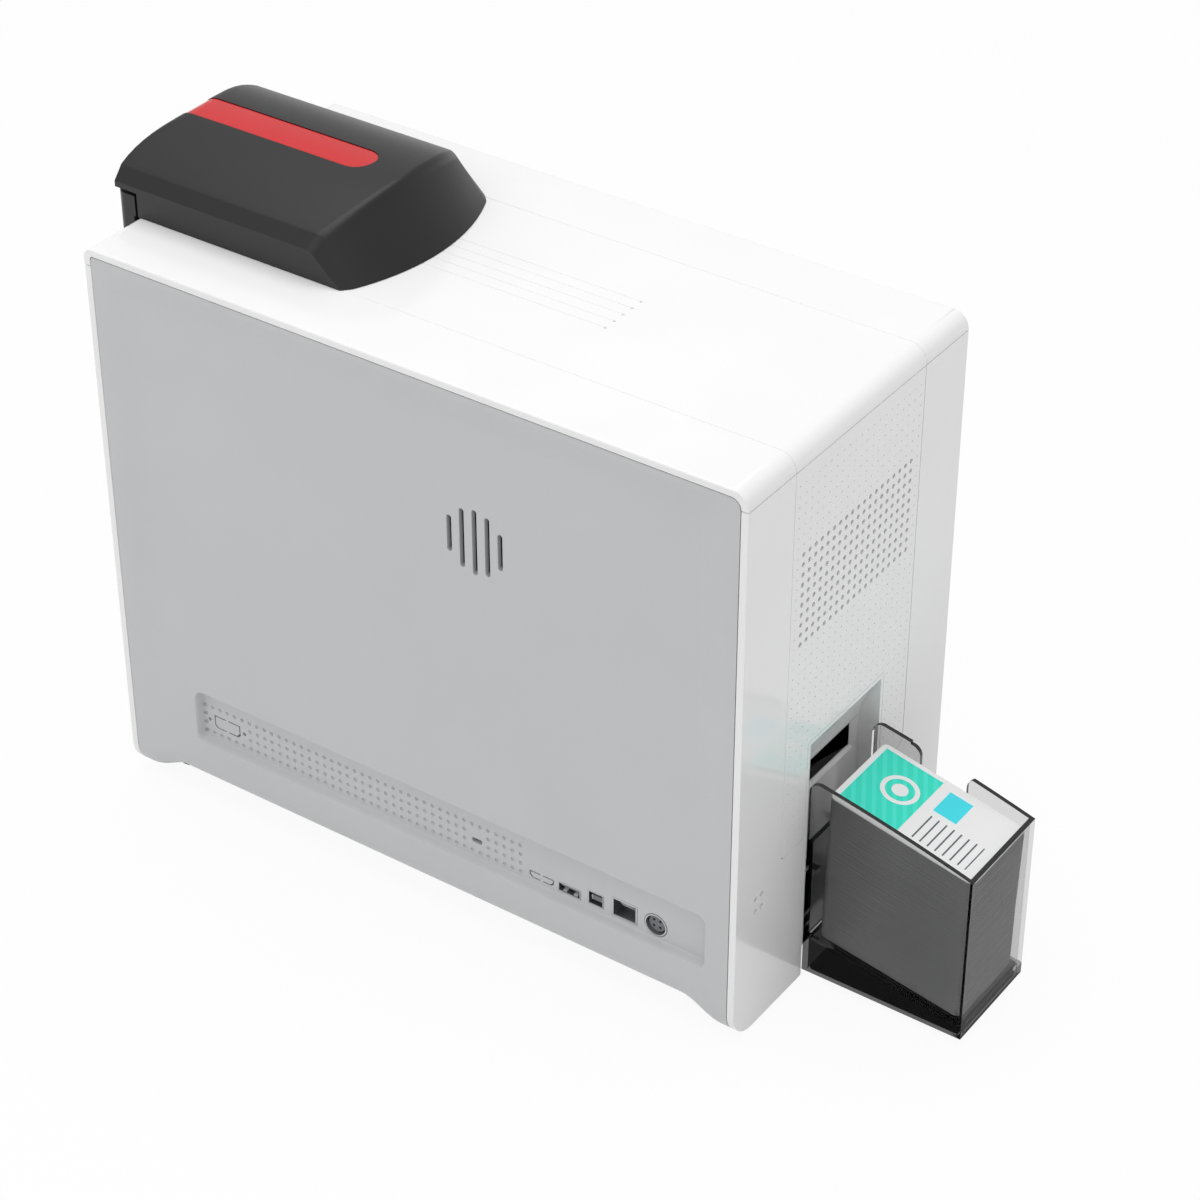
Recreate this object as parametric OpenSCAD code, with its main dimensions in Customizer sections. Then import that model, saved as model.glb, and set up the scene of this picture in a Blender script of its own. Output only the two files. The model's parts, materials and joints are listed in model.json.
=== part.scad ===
// Desktop card printer: tall narrow housing, card feeder under a sliding hood on top,
// straight card path low down, clear output hopper hooked into a niche in the exit end.
// Millimetres. +X runs from the feeder end to the exit end, -Y is the side with the sockets.

/* [Body] */
// Length of the housing
body_l = 406; // [390:1:440]
// Depth of the housing, socket side to door side
body_w = 202; // [198:1:212]
// Height of the housing above the leg bottoms
body_h = 337; // [334:1:350]
// Thickness of the end and top shells
wall = 4; // [3:0.5:5]
// Rounding of the top edge at the exit end
exit_r = 10; // [7:0.5:14]
// Rounding of the top edge at the feeder end
feed_r = 6; // [5.5:0.5:9]
// Rounding of the long top edges
edge_r = 1.2; // [0.6:0.1:2]
// How far the top shell turns down over the ends
cap_drop = 9.7; // [8:0.1:14]
// Gap between neighbouring shells
seam = 0.5; // [0.3:0.1:0.8]
// Depth of the fine grooves in the shells
groove_d = 0.6; // [0.4:0.1:1]
// Width of the fine grooves in the shells
groove_w = 0.9; // [0.6:0.1:1.4]
// Width of the middle strip between the two long grooves
strip_w = 120; // [112:1:128]

/* [Legs] */
// Height of the underside over the leg bottoms
leg_rise = 9; // [6:0.5:10]
// Flat length of each leg
leg_flat = 10; // [8:1:12]
// Distance from the end at which a leg meets the underside
leg_end = 35; // [32:1:40]
// Thickness of the base over the underside
floor_t = 3; // [2.5:0.5:4]
// Rounding of the long lower edges
bottom_r = 18; // [15:1:20]
// Radius of a rubber foot
foot_r = 9; // [7:0.5:10]
// How far a foot stands out below the legs
foot_out = 3; // [2:0.5:5]
// Foot centre from the end
foot_x = 19; // [18:1:22]
// Foot centre from the side
foot_y = 29; // [29:1:34]

/* [Socket side] */
// Thickness of the grey side panel
panel_t = 3; // [2.5:0.5:4]
// How far the panel's middle is sunk
dish_d = 2.5; // [1.5:0.5:3]
// Distance from the panel's edge to the flat of the dish
dish_edge = 30; // [22:1:34]
// Depth of the socket recess below the dish
recess_d = 3; // [2:0.5:4]
// Socket recess, near end
recess_x = 50.7; // [46:0.1:54]
// Distance from the socket recess to the housing's far end
recess_end = 18.3; // [16:0.1:24]
// Socket recess, lower edge
recess_z = 42; // [40:0.5:44]
// Socket recess, height
recess_h = 33; // [30:0.5:36]
// Number of speaker slots
slots_n = 5; // [3:2:7]
// Distance between speaker slots
slot_pitch = 7.85; // [6:0.05:9]
// Width of a speaker slot
slot_w = 3; // [2:0.1:4]
// Length of the middle speaker slot
slot_l = 38.5; // [30:0.5:46]

/* [Exit end] */
// Thickness of the perforated panel
vent_t = 2; // [1.5:0.25:2.5]
// Lower edge of the perforated panel
vent_z = 94; // [88:1:100]
// Radius of an air hole
vent_r = 1.45; // [1:0.05:1.8]
// Distance between air holes across
vent_dy = 5.575; // [4.5:0.005:6]
// Distance between air holes up
vent_dz = 5.91; // [4.5:0.01:6]
// Rows of open air holes
vent_rows = 10; // [6:1:10]
// Columns of open air holes
vent_cols = 19; // [11:2:19]
// Width of the hopper niche
niche_w = 68.5; // [67:0.5:72]
// Top of the hopper niche
niche_h = 152.5; // [148:0.5:158]
// Depth of the hopper niche
niche_d = 12; // [10:0.5:13]
// Wall of the niche liner
niche_t = 2.4; // [2:0.2:3]
// Height of the card slot
slot_h = 14.8; // [10:0.2:16]

/* [Cards] */
// Length of a card
card_l = 85.6; // [84:0.1:86]
// Width of a card
card_w = 54; // [53:0.1:55]
// Thickness of a card
card_t = 0.76; // [0.5:0.02:1]
// Underside of the card path over the leg bottoms
path_z = 114.7; // [112:0.1:118]
// Offset of the card path from the middle of the housing
path_shift = -1; // [-2:0.5:0]
// Height of the stack of blank cards
blanks_h = 185; // [40:1:190]

/* [Hopper] */
// Length of the hopper
hop_l = 96; // [95:1:104]
// Outer width of the hopper
hop_w = 64; // [63:0.5:65]
// Wall of the hopper
hop_t = 2.5; // [2:0.25:3]
// Underside of the hopper over the leg bottoms
hop_z = 2; // [1:0.5:4]
// Top of the hopper side at the printer
hop_h = 127; // [124:0.5:132]
// Top of the hopper at its far end
hop_end_h = 105.3; // [104.5:0.1:110]
// Height of the stack of printed cards
stack_h = 92; // [30:1:92.5]

/* [Feeder] */
// Overhang of the feeder past the housing's end
nose_l = 12; // [9:0.5:14]
// Width of the hood
hood_w = 122.5; // [116:0.5:126]
// Length of the hood over the housing
hood_l = 154; // [148:1:160]
// Height of the hood
hood_h = 38.5; // [34:0.5:42]
// Radius of the crown of the hood
crown_r = 115; // [100:1:140]
// Radius of the hood's curved rear edge
back_r = 126; // [110:1:160]
// Height of the fixed nose over the top
nose_h = 12; // [8:0.5:14]
// Gap between the hood and what it slides past
hood_gap = 2; // [1:0.25:3]
// Wall of the hood
hood_t = 2.5; // [2:0.25:3]
// Width of the red window
window_w = 21; // [14:1:26]
// Far end of the red window
window_l = 111.5; // [80:0.5:112]
// Travel of the hood
hood_travel = 110; // [100:1:112]

/* [Mechanism] */
// Radius of the driven rollers
roller_r = 8; // [7:0.25:8.5]
// Radius of the roller shafts
shaft_r = 3; // [2.5:0.25:3.5]
// Radial running clearance of every shaft
run_gap = 0.05; // [0.03:0.01:0.1]
// Gap between rollers and card
grip_gap = 0.3; // [0.2:0.05:0.5]
// Thickness of the steel frame plates
plate_t = 1.5; // [1.2:0.1:2]
// Clear width between the frame plates
frame_w = 75.5; // [74:0.5:77]
// Radius of the card turner
turner_r = 44; // [43.5:0.25:45]
// Gear module
gear_m = 1; // [1:0.25:1]
// Teeth of the drive gear
gear_n = 48; // [48:16:48]
// Teeth of the motor pinion
pinion_n = 16; // [14:2:16]
// Full ribbon roll radius
ribbon_r = 22; // [15:0.5:23]
// Side of a fan
fan_s = 50; // [44:1:50]
// Depth of a fan
fan_d = 14; // [10:0.5:15]

/* [Door] */
// Thickness of the door
door_t = 3; // [2.5:0.5:3.5]
// Lower edge of the door over the leg bottoms
door_z = 22; // [20:0.5:26]
// Radius of the door's hinge barrel
barrel_r = 3; // [3:0.25:3.5]
// Radius of a hinge pin
pin_r = 1.5; // [1.2:0.1:1.6]
// Width of the display
display_w = 64; // [50:1:76]
// Height of the display
display_h = 36; // [26:1:42]
// Radius of a control button
button_r = 5; // [4:0.25:6]
// Distance between control buttons
button_pitch = 15; // [13:0.5:20]

/* [Hidden] */

$fn = 64;
eps = 0.01;
far = 600;

// places that several pieces share
origin_x = (body_l - 1 + hop_l - nose_l) / 2;
mid_y = body_w / 2;
path_y = mid_y + path_shift;
cap_z = body_h - cap_drop;
floor_z = leg_rise + floor_t;
leg_r = (pow(leg_end - leg_flat, 2) + pow(leg_rise, 2)) / (4 * leg_rise);
strip_y = foot_y - foot_r - 1.5;
card_top = path_z + card_t;
niche_x = body_l - niche_d;
frame_y0 = path_y - frame_w / 2;
frame_y1 = path_y + frame_w / 2;
frame_x0 = 60;
frame_x1 = niche_x - niche_t - 1.5;
flange_w = 14;

// colours
white = "#f2f2f2";
grey = "#bdbebf";
black = "#303030";
red = [0.85, 0.2, 0.2, 0.8];
clear = [0.3, 0.3, 0.3, 0.35];
steel = "#b9bcc0";
rubber = "#3a3a3a";
plastic = "#5a5d60";

module place() translate([-origin_x, -mid_y, foot_out]) children();

module box(low, high) translate(low) cube(high - low);

module rod_x(y, z, x0, x1, r) translate([x0, y, z]) rotate([0, 90, 0]) cylinder(h = x1 - x0, r = r);

module rod_y(x, z, y0, y1, r) translate([x, y1, z]) rotate([90, 0, 0]) cylinder(h = y1 - y0, r = r);

module rod_z(x, y, z0, z1, r) translate([x, y, z0]) cylinder(h = z1 - z0, r = r);

// a flat outline drawn in x and z, made thick along y
module slab_y(y0, y1) translate([0, y1, 0]) rotate([90, 0, 0]) linear_extrude(y1 - y0) children();

// a flat outline drawn in y and z, made thick along x
module slab_x(x0, x1) translate([x0, 0, 0]) rotate([90, 0, 90]) linear_extrude(x1 - x0) children();

// rectangle with round corners, made of exact arcs
module round_rect(low, high, r) {
    translate([low.x + r, low.y]) square([high.x - low.x - 2 * r, high.y - low.y]);
    translate([low.x, low.y + r]) square([high.x - low.x, high.y - low.y - 2 * r]);
    for (x = [low.x + r, high.x - r], y = [low.y + r, high.y - r])
        translate([x, y]) circle(r);
}

// ---------- housing ----------

// points along the underside from the middle of one leg's flat to its end: an S of two bends
leg_points = let(bend = 2 * atan2(leg_rise, leg_end - leg_flat), steps = [0:1 / 6:1]) concat(
    [for (k = steps) [leg_flat + leg_r * sin(k * bend), leg_r * (1 - cos(k * bend))]],
    [for (k = [1 / 6:1 / 6:1])
        [leg_end - leg_r * sin((1 - k) * bend), leg_rise - leg_r * (1 - cos((1 - k) * bend))]]);

// outline in x and z of the underside with its two legs, open upwards
module leg_outline() {
    last = len(leg_points) - 1;
    polygon(concat(
        [[body_l, 2 * body_h], [0, 2 * body_h], [0, 0]],
        leg_points,
        [for (i = [last:-1:0]) [body_l - leg_points[i].x, leg_points[i].y]],
        [[body_l, 0]]));
}

// outline in x and z of the top and ends, moved in by inset and open downwards
module top_outline(inset) {
    r0 = max(feed_r - inset, 0.5);
    r1 = max(exit_r - inset, 0.5);
    top = body_h - inset;
    translate([inset, -1]) square([body_l - 2 * inset, top + 1 - max(r0, r1)]);
    translate([inset + r0, 0]) square([body_l - 2 * inset - r0 - r1, top]);
    translate([inset, 0]) square([r0 + eps, top - r0]);
    translate([body_l - inset - r1 - eps, 0]) square([r1 + eps, top - r1]);
    translate([inset + r0, top - r0]) circle(r0);
    translate([body_l - inset - r1, top - r1]) circle(r1);
}

// outline of the housing in y and z
module end_profile() {
    translate([0, bottom_r]) square([body_w, body_h - bottom_r - edge_r]);
    translate([bottom_r, 0]) square([body_w - 2 * bottom_r, bottom_r + eps]);
    for (y = [bottom_r, body_w - bottom_r]) translate([y, bottom_r]) circle(bottom_r, $fn = 96);
    translate([edge_r, body_h - edge_r - eps]) square([body_w - 2 * edge_r, edge_r + eps]);
    for (y = [edge_r, body_w - edge_r]) translate([y, body_h - edge_r]) circle(edge_r, $fn = 32);
}

// the housing's outer form, with its top and ends moved in by inset
module envelope(inset = 0) {
    intersection() {
        slab_y(0, body_w) intersection() {
            leg_outline();
            top_outline(inset);
        }
        slab_x(-1, body_l + 1) end_profile();
    }
}

// everything in the housing's outer form between two values of x, y or z
module zone(low, high) {
    intersection() {
        envelope();
        box(low, high);
    }
}

niche_y0 = path_y - niche_w / 2;
niche_y1 = path_y + niche_w / 2;
scoop_z = path_z + 5;
scoop_r = (pow(niche_d, 2) + pow(niche_h - scoop_z, 2)) / (2 * niche_d);

// the space in the exit end that the liner is set into
module niche_hole(gap) {
    box([niche_x - niche_t - gap, niche_y0 - niche_t - gap, -1],
        [body_l + 1, niche_y1 + niche_t + gap, niche_h + niche_t + gap]);
}

module base_pan() color(grey) place() difference() {
    intersection() {
        envelope();
        union() {
            box([wall + seam, strip_y, -1], [body_l - wall - seam, body_w + 1, floor_z]);
            box([wall + seam, body_w - door_t, -1], [body_l - wall - seam, body_w + 1, door_z - seam]);
        }
    }
    niche_hole(seam);
    for (x = [foot_x, body_l - foot_x], y = [foot_y, body_w - foot_y])
        rod_z(x, y, -1, leg_rise / 2, foot_r + 0.2);
    rod_z(hinge_x, hinge_y, door_z - 10, door_z + 1, pin_r);
    for (p = base_screw_spots) {
        rod_z(p.x, p.y, leg_rise - 1, leg_rise + 1.6, screw_head_r + 0.3);
        rod_z(p.x, p.y, 0, floor_z + 1, screw_r + 0.2);
    }
}

module rubber_feet() color(rubber) place()
    for (x = [foot_x, body_l - foot_x], y = [foot_y, body_w - foot_y]) {
        rod_z(x, y, -foot_out, -foot_out + 1, foot_r - 0.8);
        rod_z(x, y, -foot_out + 1, leg_rise / 2 - 0.1, foot_r);
    }

screw_r = 1.5;
screw_head_r = 2.8;
base_screw_spots = [for (x = [frame_x0 + 25, frame_x1 - 35], s = [-1, 1])
    [x, path_y + s * (frame_w / 2 + plate_t + flange_w / 2)]];

module base_screws() color(steel) place()
    for (p = base_screw_spots) {
        difference() {
            rod_z(p.x, p.y, leg_rise - 0.2, leg_rise + 1.6, screw_head_r);
            for (a = [0, 90]) translate([p.x, p.y, leg_rise - 0.2]) rotate(a)
                cube([3.2, 0.7, 1.6], center = true);
        }
        rod_z(p.x, p.y, leg_rise + 1.6, floor_z + plate_t + 2, screw_r);
    }

track_n = 5;
track_pitch = 7.8;
track_y0 = mid_y + 0.8 - (track_n - 1) / 2 * track_pitch;
track_x0 = hood_l - 20;
track_x1 = hood_l - 3 + hood_travel + 5;
mouth_gap = 0.6;

module top_shell() color(white) place() difference() {
    zone([-1, -1, cap_z], [body_l + 1, body_w + 1, body_h + 1]);
    slab_y(-1, body_w + 1) top_outline(wall);
    box([mag_x0 - mouth_gap, mag_y0 - mouth_gap, body_h - wall - 1],
        [mag_x1 + mouth_gap, mag_y1 + mouth_gap, body_h + 1]);
    for (i = [0:track_n - 1]) {
        y = track_y0 + i * track_pitch;
        box([track_x0, y - groove_w / 2, body_h - groove_d], [track_x1, y + groove_w / 2, body_h + 1]);
        rod_z(track_x1, y, body_h - 2 * groove_d, body_h + 1, groove_w);
    }
    for (s = [-1, 1]) difference() {
        y = mid_y + s * strip_w / 2;
        box([hood_l / 2, y - groove_w / 2, cap_z - 1], [body_l + 1, y + groove_w / 2, body_h + 1]);
        envelope(groove_d);
    }
    box([body_l - exit_r, hinge_y - barrel_r - 1, cap_z - 1], [body_l - wall, body_w + 1, body_h - wall]);
    rod_z(hinge_x, hinge_y, body_h - wall - 1, body_h - wall + 2, pin_r);
}

module feed_end_shell() color(white) place()
    zone([-1, -1, -1], [wall, body_w + 1, cap_z - seam]);

vent_y0 = mid_y - strip_w / 2;
vent_y1 = mid_y + strip_w / 2;
vent_top = cap_z - cap_drop;
vent_first = 7;
fan_z = vent_top - (vent_first + (vent_rows - 1) / 2) * vent_dz;
corner_holes_y = [18, 23.6];
corner_holes_z = [76.5, 84.5];
corner_hole_r = 1.1;

module vent_outline(gap) {
    r = 3;
    translate([vent_y0 + gap, vent_z + gap + r])
        square([strip_w - 2 * gap, cap_z - seam - vent_z - gap - r]);
    translate([vent_y0 + gap + r, vent_z + gap]) square([strip_w - 2 * gap - 2 * r, r + eps]);
    for (y = [vent_y0 + gap + r, vent_y1 - gap - r]) translate([y, vent_z + gap + r]) circle(r);
}

module exit_end_shell() color(white) place() difference() {
    zone([body_l - wall, -1, -1], [body_l + 1, body_w + 1, cap_z - seam]);
    slab_x(body_l - vent_t, body_l + 1) vent_outline(0);
    slab_x(body_l - vent_t, body_l + 1) translate([vent_y0, cap_z - 4]) square([strip_w, 6]);
    box([body_l - wall - 1, mid_y - (vent_cols + 1) / 2 * vent_dy, fan_z - (vent_rows + 1) / 2 * vent_dz],
        [body_l, mid_y + (vent_cols + 1) / 2 * vent_dy, fan_z + (vent_rows + 1) / 2 * vent_dz]);
    niche_hole(0.2);
    for (y = corner_holes_y, z = corner_holes_z) rod_x(y, z, body_l - 2, body_l + 1, corner_hole_r);
}

module vent_panel() color(white) place() difference() {
    slab_x(body_l - vent_t + 0.1, body_l) vent_outline(0.3);
    niche_hole(0.2);
    for (i = [0:vent_cols - 1], j = [0:vent_rows - 1])
        rod_x(mid_y + (i - (vent_cols - 1) / 2) * vent_dy, vent_top - (vent_first + j) * vent_dz,
            body_l - vent_t - 1, body_l + 1, vent_r, $fn = 24);
}

// the space that the hopper hangs in: flat back, then a scoop out to the end face
module niche_space() {
    box([niche_x, niche_y0, -2], [body_l + 1, niche_y1, scoop_z]);
    intersection() {
        rod_y(niche_x + scoop_r, scoop_z, niche_y0, niche_y1, scoop_r, $fn = 128);
        box([niche_x, niche_y0, scoop_z - 1], [body_l + 1, niche_y1, niche_h + 5]);
    }
}

hook_w = 5;
hook_h = 8;
hook_t = 3;
hook_z = hop_z + 58;
hook_gap = 0.5;
hook_spots = [path_y - 20, path_y + 20];

module exit_niche() color(white) place() difference() {
    intersection() {
        box([niche_x - niche_t, niche_y0 - niche_t, 0],
            [body_l - 0.1, niche_y1 + niche_t, niche_h + niche_t]);
        envelope();
    }
    niche_space();
    box([niche_x - niche_t - 1, path_y - card_w / 2 - 0.5, path_z - slot_h / 2 + card_t / 2],
        [niche_x + 1, path_y + card_w / 2 + 0.5, path_z + slot_h / 2 + card_t / 2]);
    for (y = hook_spots)
        box([niche_x - niche_t - 1, y - hook_w / 2 - hook_gap, hook_z - hook_gap],
            [niche_x + 1, y + hook_w / 2 + hook_gap, hook_z + hook_h + hook_gap]);
}

// ---------- socket side ----------

panel_x0 = wall + seam;
panel_x1 = body_l - wall - seam;
panel_back = dish_d + panel_t;
recess_back = panel_back + recess_d;
recess_y = dish_d + recess_d;
recess_x1 = body_l - recess_end;
recess_z1 = recess_z + recess_h;
port_z = recess_z + 3.1;
port_gap = 0.2;

// each socket: [centre x, lower edge z, width, height, depth]
usb_a = [recess_x1 - 88, port_z, 14.4, 6.1, 14];
usb_b = [recess_x1 - 71.2, port_z + 0.7, 9.8, 8.7, 14];
lan = [recess_x1 - 53.1, port_z, 15.6, 12.1, 16];
inlet = [recess_x1 - 33.7, port_z + 6, 7];
board_y = recess_y + 16.5;
// middle of the speaker slots; share of the middle slot's length that the outer ones have
speaker = [245, 246.7];
slot_shares = [1, 0.91, 0.56];
// knock-outs: [centre x, centre z, width, height, slant of the sides]
knock_d = [recess_x + 17.7, recess_z + 12.6, 18.4, 8.6, 1.8];
knock_h = [recess_x1 - 105.8, recess_z + 5.9, 15.8, 4.6, 1.6];
jack_screws = [knock_d.x - 12.7, knock_d.x + 12.1];
jack_r = 1.2;
// lock slot: [start x, lower edge z, length, height]
lock_reach = 151;
lock = [recess_x1 - lock_reach, recess_z + 10, 6.5, 3];

module port_block(p, gap) {
    box([p[0] - p[2] / 2 - gap, recess_y - (gap > 0 ? 1 : 0), p[1] - gap],
        [p[0] + p[2] / 2 + gap, recess_y + p[4], p[1] + p[3] + gap]);
}

// a D-shaped knock-out outline with short bridges, cut as a shallow groove
module knock_out(k) {
    w = k[2];
    h = k[3];
    slant = k[4];
    outline = [[-w / 2, h / 2], [w / 2, h / 2], [w / 2 - slant, -h / 2], [-w / 2 + slant, -h / 2]];
    for (i = [0:3]) {
        a = outline[i];
        b = outline[(i + 1) % 4];
        len = norm(b - a);
        translate([k[0] + a.x, recess_y, k[1] + a.y]) rotate([0, -atan2(b.y - a.y, b.x - a.x), 0])
            translate([len * 0.06, -1, -0.25]) cube([len * 0.88, 1 + groove_d, 0.5]);
    }
}

// the panel's edge is drawn in between the legs, by a wall this thick
tuck_t = panel_t + 0.5;

// a round bar along the panel's lower edge between the legs
module edge_bar(r, over) rod_x(bottom_r, leg_rise + bottom_r, leg_end - over, body_l - leg_end + over, r, $fn = 96);

module rear_panel() color(grey) place() difference() {
    union() {
        intersection() {
            envelope();
            union() {
                slab_y(-1, panel_back) top_outline(wall + seam);
                box([panel_x0, -1, -1], [panel_x1, strip_y - seam, floor_z]);
            }
        }
        box([recess_x - panel_t, panel_back - 1, recess_z - panel_t],
            [recess_x1 + panel_t, recess_back, recess_z1 + panel_t]);
        difference() {
            box([leg_end, 1, leg_rise], [body_l - leg_end, bottom_r, leg_rise + bottom_r]);
            edge_bar(bottom_r - tuck_t, 1);
        }
    }
    difference() {
        box([leg_end, -1, leg_rise - 1], [body_l - leg_end, bottom_r, leg_rise + bottom_r]);
        edge_bar(bottom_r, 1);
    }
    hull() {
        box([panel_x0 + 6, -1, floor_z + 8], [panel_x1 - 6, 0, body_h - wall - 8]);
        box([panel_x0 + dish_edge, -1, floor_z + 18],
            [panel_x1 - dish_edge, dish_d, body_h - wall - dish_edge]);
    }
    slab_y(-1, recess_y) round_rect([recess_x, recess_z], [recess_x1, recess_z1], 4);
    for (i = [0:slots_n - 1]) {
        k = i - (slots_n - 1) / 2;
        x = speaker.x + k * slot_pitch;
        z = speaker.y;
        l = slot_l * slot_shares[min(ceil(abs(k)), 2)];
        box([x - slot_w / 2, -1, z - l / 2 + slot_w / 2], [x + slot_w / 2, far, z + l / 2 - slot_w / 2]);
        for (s = [-1, 1]) rod_y(x, z + s * (l - slot_w) / 2, -1, panel_back + 1, slot_w / 2, $fn = 24);
    }
    for (p = [usb_a, usb_b, lan]) port_block(p, port_gap);
    rod_y(inlet[0], inlet[1], -1, far, inlet[2] + port_gap);
    knock_out(knock_d);
    knock_out(knock_h);
    for (x = jack_screws) rod_y(x, knock_d[1], -1, recess_y + 1.5, jack_r, $fn = 24);
    box([lock[0], -1, lock[1]], [lock[0] + lock[2], far, lock[1] + lock[3]]);
}

port_back_t = 2;
tongue_gap = 1.2;

// a metal socket: shell, tongue, and a closed back
module socket(p, shell, tongue_h, tongue_z) {
    x0 = p[0] - p[2] / 2 + shell;
    x1 = p[0] + p[2] / 2 - shell;
    back = recess_y + p[4] - port_back_t;
    difference() {
        port_block(p, 0);
        box([x0, recess_y - 1, p[1] + shell], [x1, back, p[1] + p[3] - shell]);
    }
    box([x0 + tongue_gap, recess_y + 1, p[1] + tongue_z],
        [x1 - tongue_gap, back + eps, p[1] + tongue_z + tongue_h]);
}

module usb_a_port() color(steel) place() socket(usb_a, 0.6, 1.6, 3.4);

module usb_b_port() color(steel) place() socket(usb_b, 0.6, 3, 2.9);

// network jack: a thin shell round one opening
lan_shell = 0.9;
lan_d = 13;

module lan_port() color(steel) place() difference() {
    port_block(lan, 0);
    box([lan[0] - lan[2] / 2 + lan_shell, recess_y - 1, lan[1] + lan_shell],
        [lan[0] + lan[2] / 2 - lan_shell, recess_y + lan_d, lan[1] + lan[3] - lan_shell]);
}

inlet_flange_t = 4;
inlet_rim = 1.1;
inlet_slot = 0.9;
inlet_depth = 10;
inlet_pin_r = 0.9;
inlet_pin_ring = 2.8;

module power_inlet() color(plastic) place() difference() {
    union() {
        rod_y(inlet[0], inlet[1], recess_y, recess_y + inlet_flange_t, inlet[2]);
        rod_y(inlet[0], inlet[1], recess_y + inlet_flange_t - eps, board_y, inlet[2] - 0.5);
    }
    difference() {
        rod_y(inlet[0], inlet[1], recess_y - 1, recess_y + inlet_depth, inlet[2] - inlet_rim);
        rod_y(inlet[0], inlet[1], recess_y + 1.5, recess_y + inlet_depth + 1,
            inlet[2] - inlet_rim - inlet_slot);
    }
    for (a = [45:90:315])
        rod_y(inlet[0] + inlet_pin_ring * cos(a), inlet[1] + inlet_pin_ring * sin(a),
            recess_y, recess_y + inlet_depth - 1, inlet_pin_r, $fn = 24);
}

board_reach = 157.7;
board_x0 = recess_x1 - board_reach;
board_z0 = 24;
board_h = 136;
board_x1 = panel_x1 - 12;
board_t = 1.6;
board_hole = 5;
chip_t = 1.8;
// chips on the board, from its corner: [x, z, side]
chips = [[32, 96, 26], [75, 88, 18], [122, 104, 14], [70, 121, 12]];
// capacitors along the board's lower edge
caps_x = [20:16:116];
caps_z = 20;
cap_r = 4;
cap_h = 9.4;

module main_board() place() {
    color("#2f6b45") difference() {
        box([board_x0, board_y, board_z0], [board_x1, board_y + board_t, board_z0 + board_h]);
        for (x = [board_x0 + board_hole, board_x1 - board_hole],
             z = [board_z0 + board_hole, board_z0 + board_h - board_hole])
            rod_y(x, z, board_y - 1, board_y + board_t + 1, screw_r);
    }
    color(black) for (c = chips)
        translate([board_x0 + c.x - c.z / 2, board_y + board_t, board_z0 + c.y - c.z / 2])
            cube([c.z, chip_t, c.z]);
    color(steel) for (x = caps_x)
        rod_y(board_x0 + x, board_z0 + caps_z, board_y + board_t, board_y + board_t + cap_h, cap_r);
}

// ---------- door side ----------

barrel_step = 0.3;
hinge_x = body_l - wall - seam - barrel_r;
hinge_y = body_w - barrel_r - barrel_step;
door_x0 = wall + seam;
door_top = body_h - wall - seam;
display_x = 202;
display_drop = 56.5;
display_z = door_top - display_drop;
button_z = display_z - display_h / 2 - 16;
lights_z = display_z + display_h / 2 + 9;
latch_x = door_x0 + 21;
latch_z = 178;
latch_w = 14;
latch_h = 30;
latch_arm = 9;
latch_arm_t = 2;
latch_arm_half = 6;
button_gap = 0.3;
button_step = 0.2;
button_stem = 1.5;
light_r = 1.5;
light_pitch = 8;
// the door's stiffening frame: distance from its edges, height and thickness of the ribs
door_rib_edge = [8, 14, 6];
door_rib_d = 5;
door_rib_t = 2.4;
hinge_pin_l = 10;

module door_panel_outline() {
    r = max(feed_r - wall, 1.5);
    translate([door_x0 + r, door_z]) square([hinge_x - door_x0 - r, door_top - door_z]);
    translate([door_x0, door_z]) square([r + eps, door_top - door_z - r]);
    translate([door_x0 + r, door_top - r]) circle(r, $fn = 32);
}

module front_door() color(grey) place() difference() {
    x0 = door_x0 + door_rib_edge.x;
    x1 = hinge_x - door_rib_edge.y;
    z0 = door_z + door_rib_edge.z;
    z1 = door_top - door_rib_edge.z;
    y0 = body_w - door_t - door_rib_d;
    y1 = body_w - door_t + eps;
    union() {
        slab_y(body_w - door_t, body_w) door_panel_outline();
        rod_z(hinge_x, hinge_y, door_z, door_top, barrel_r);
        for (z = [z0, z1 - door_rib_t]) box([x0, y0, z], [x1, y1, z + door_rib_t]);
        for (x = [x0, x1 - door_rib_t]) box([x, y0, z0], [x + door_rib_t, y1, z1]);
    }
    rod_z(hinge_x, hinge_y, door_z - 1, door_z + hinge_pin_l + 1, pin_r + run_gap);
    rod_z(hinge_x, hinge_y, door_top - hinge_pin_l - 1, door_top + 1, pin_r + run_gap);
    box([display_x - display_w / 2, body_w - door_t - 1, display_z - display_h / 2],
        [display_x + display_w / 2, body_w + 1, display_z + display_h / 2]);
    for (i = [0:3]) rod_y(button_x(i), button_z, body_w - door_t - 1, body_w + 1, button_r + button_gap);
    for (i = [-1:1])
        rod_y(display_x + i * light_pitch, lights_z, body_w - door_t - 1, body_w + 1, light_r, $fn = 32);
    box([latch_x - latch_w / 2 - button_gap, body_w - door_t - 1, latch_z - latch_h / 2 - button_gap],
        [latch_x + latch_w / 2 + button_gap, body_w + 1, latch_z + latch_h / 2 + button_gap]);
}

function button_x(i) = display_x + (i - 1.5) * button_pitch;

module hinge_pins() color(steel) place() {
    rod_z(hinge_x, hinge_y, door_z - hinge_pin_l, door_z + hinge_pin_l, pin_r);
    rod_z(hinge_x, hinge_y, door_top - hinge_pin_l, body_h - wall + 2, pin_r);
}

module display_module() color(black) place() {
    w = display_w / 2 - 0.2;
    h = display_h / 2 - 0.2;
    box([display_x - w, body_w - door_t - 0.5, display_z - h], [display_x + w, body_w - 0.4, display_z + h]);
    box([display_x - w - 5, body_w - door_t - 4, display_z - h - 3],
        [display_x + w + 5, body_w - door_t - 0.1, display_z + h + 3]);
}

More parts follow.
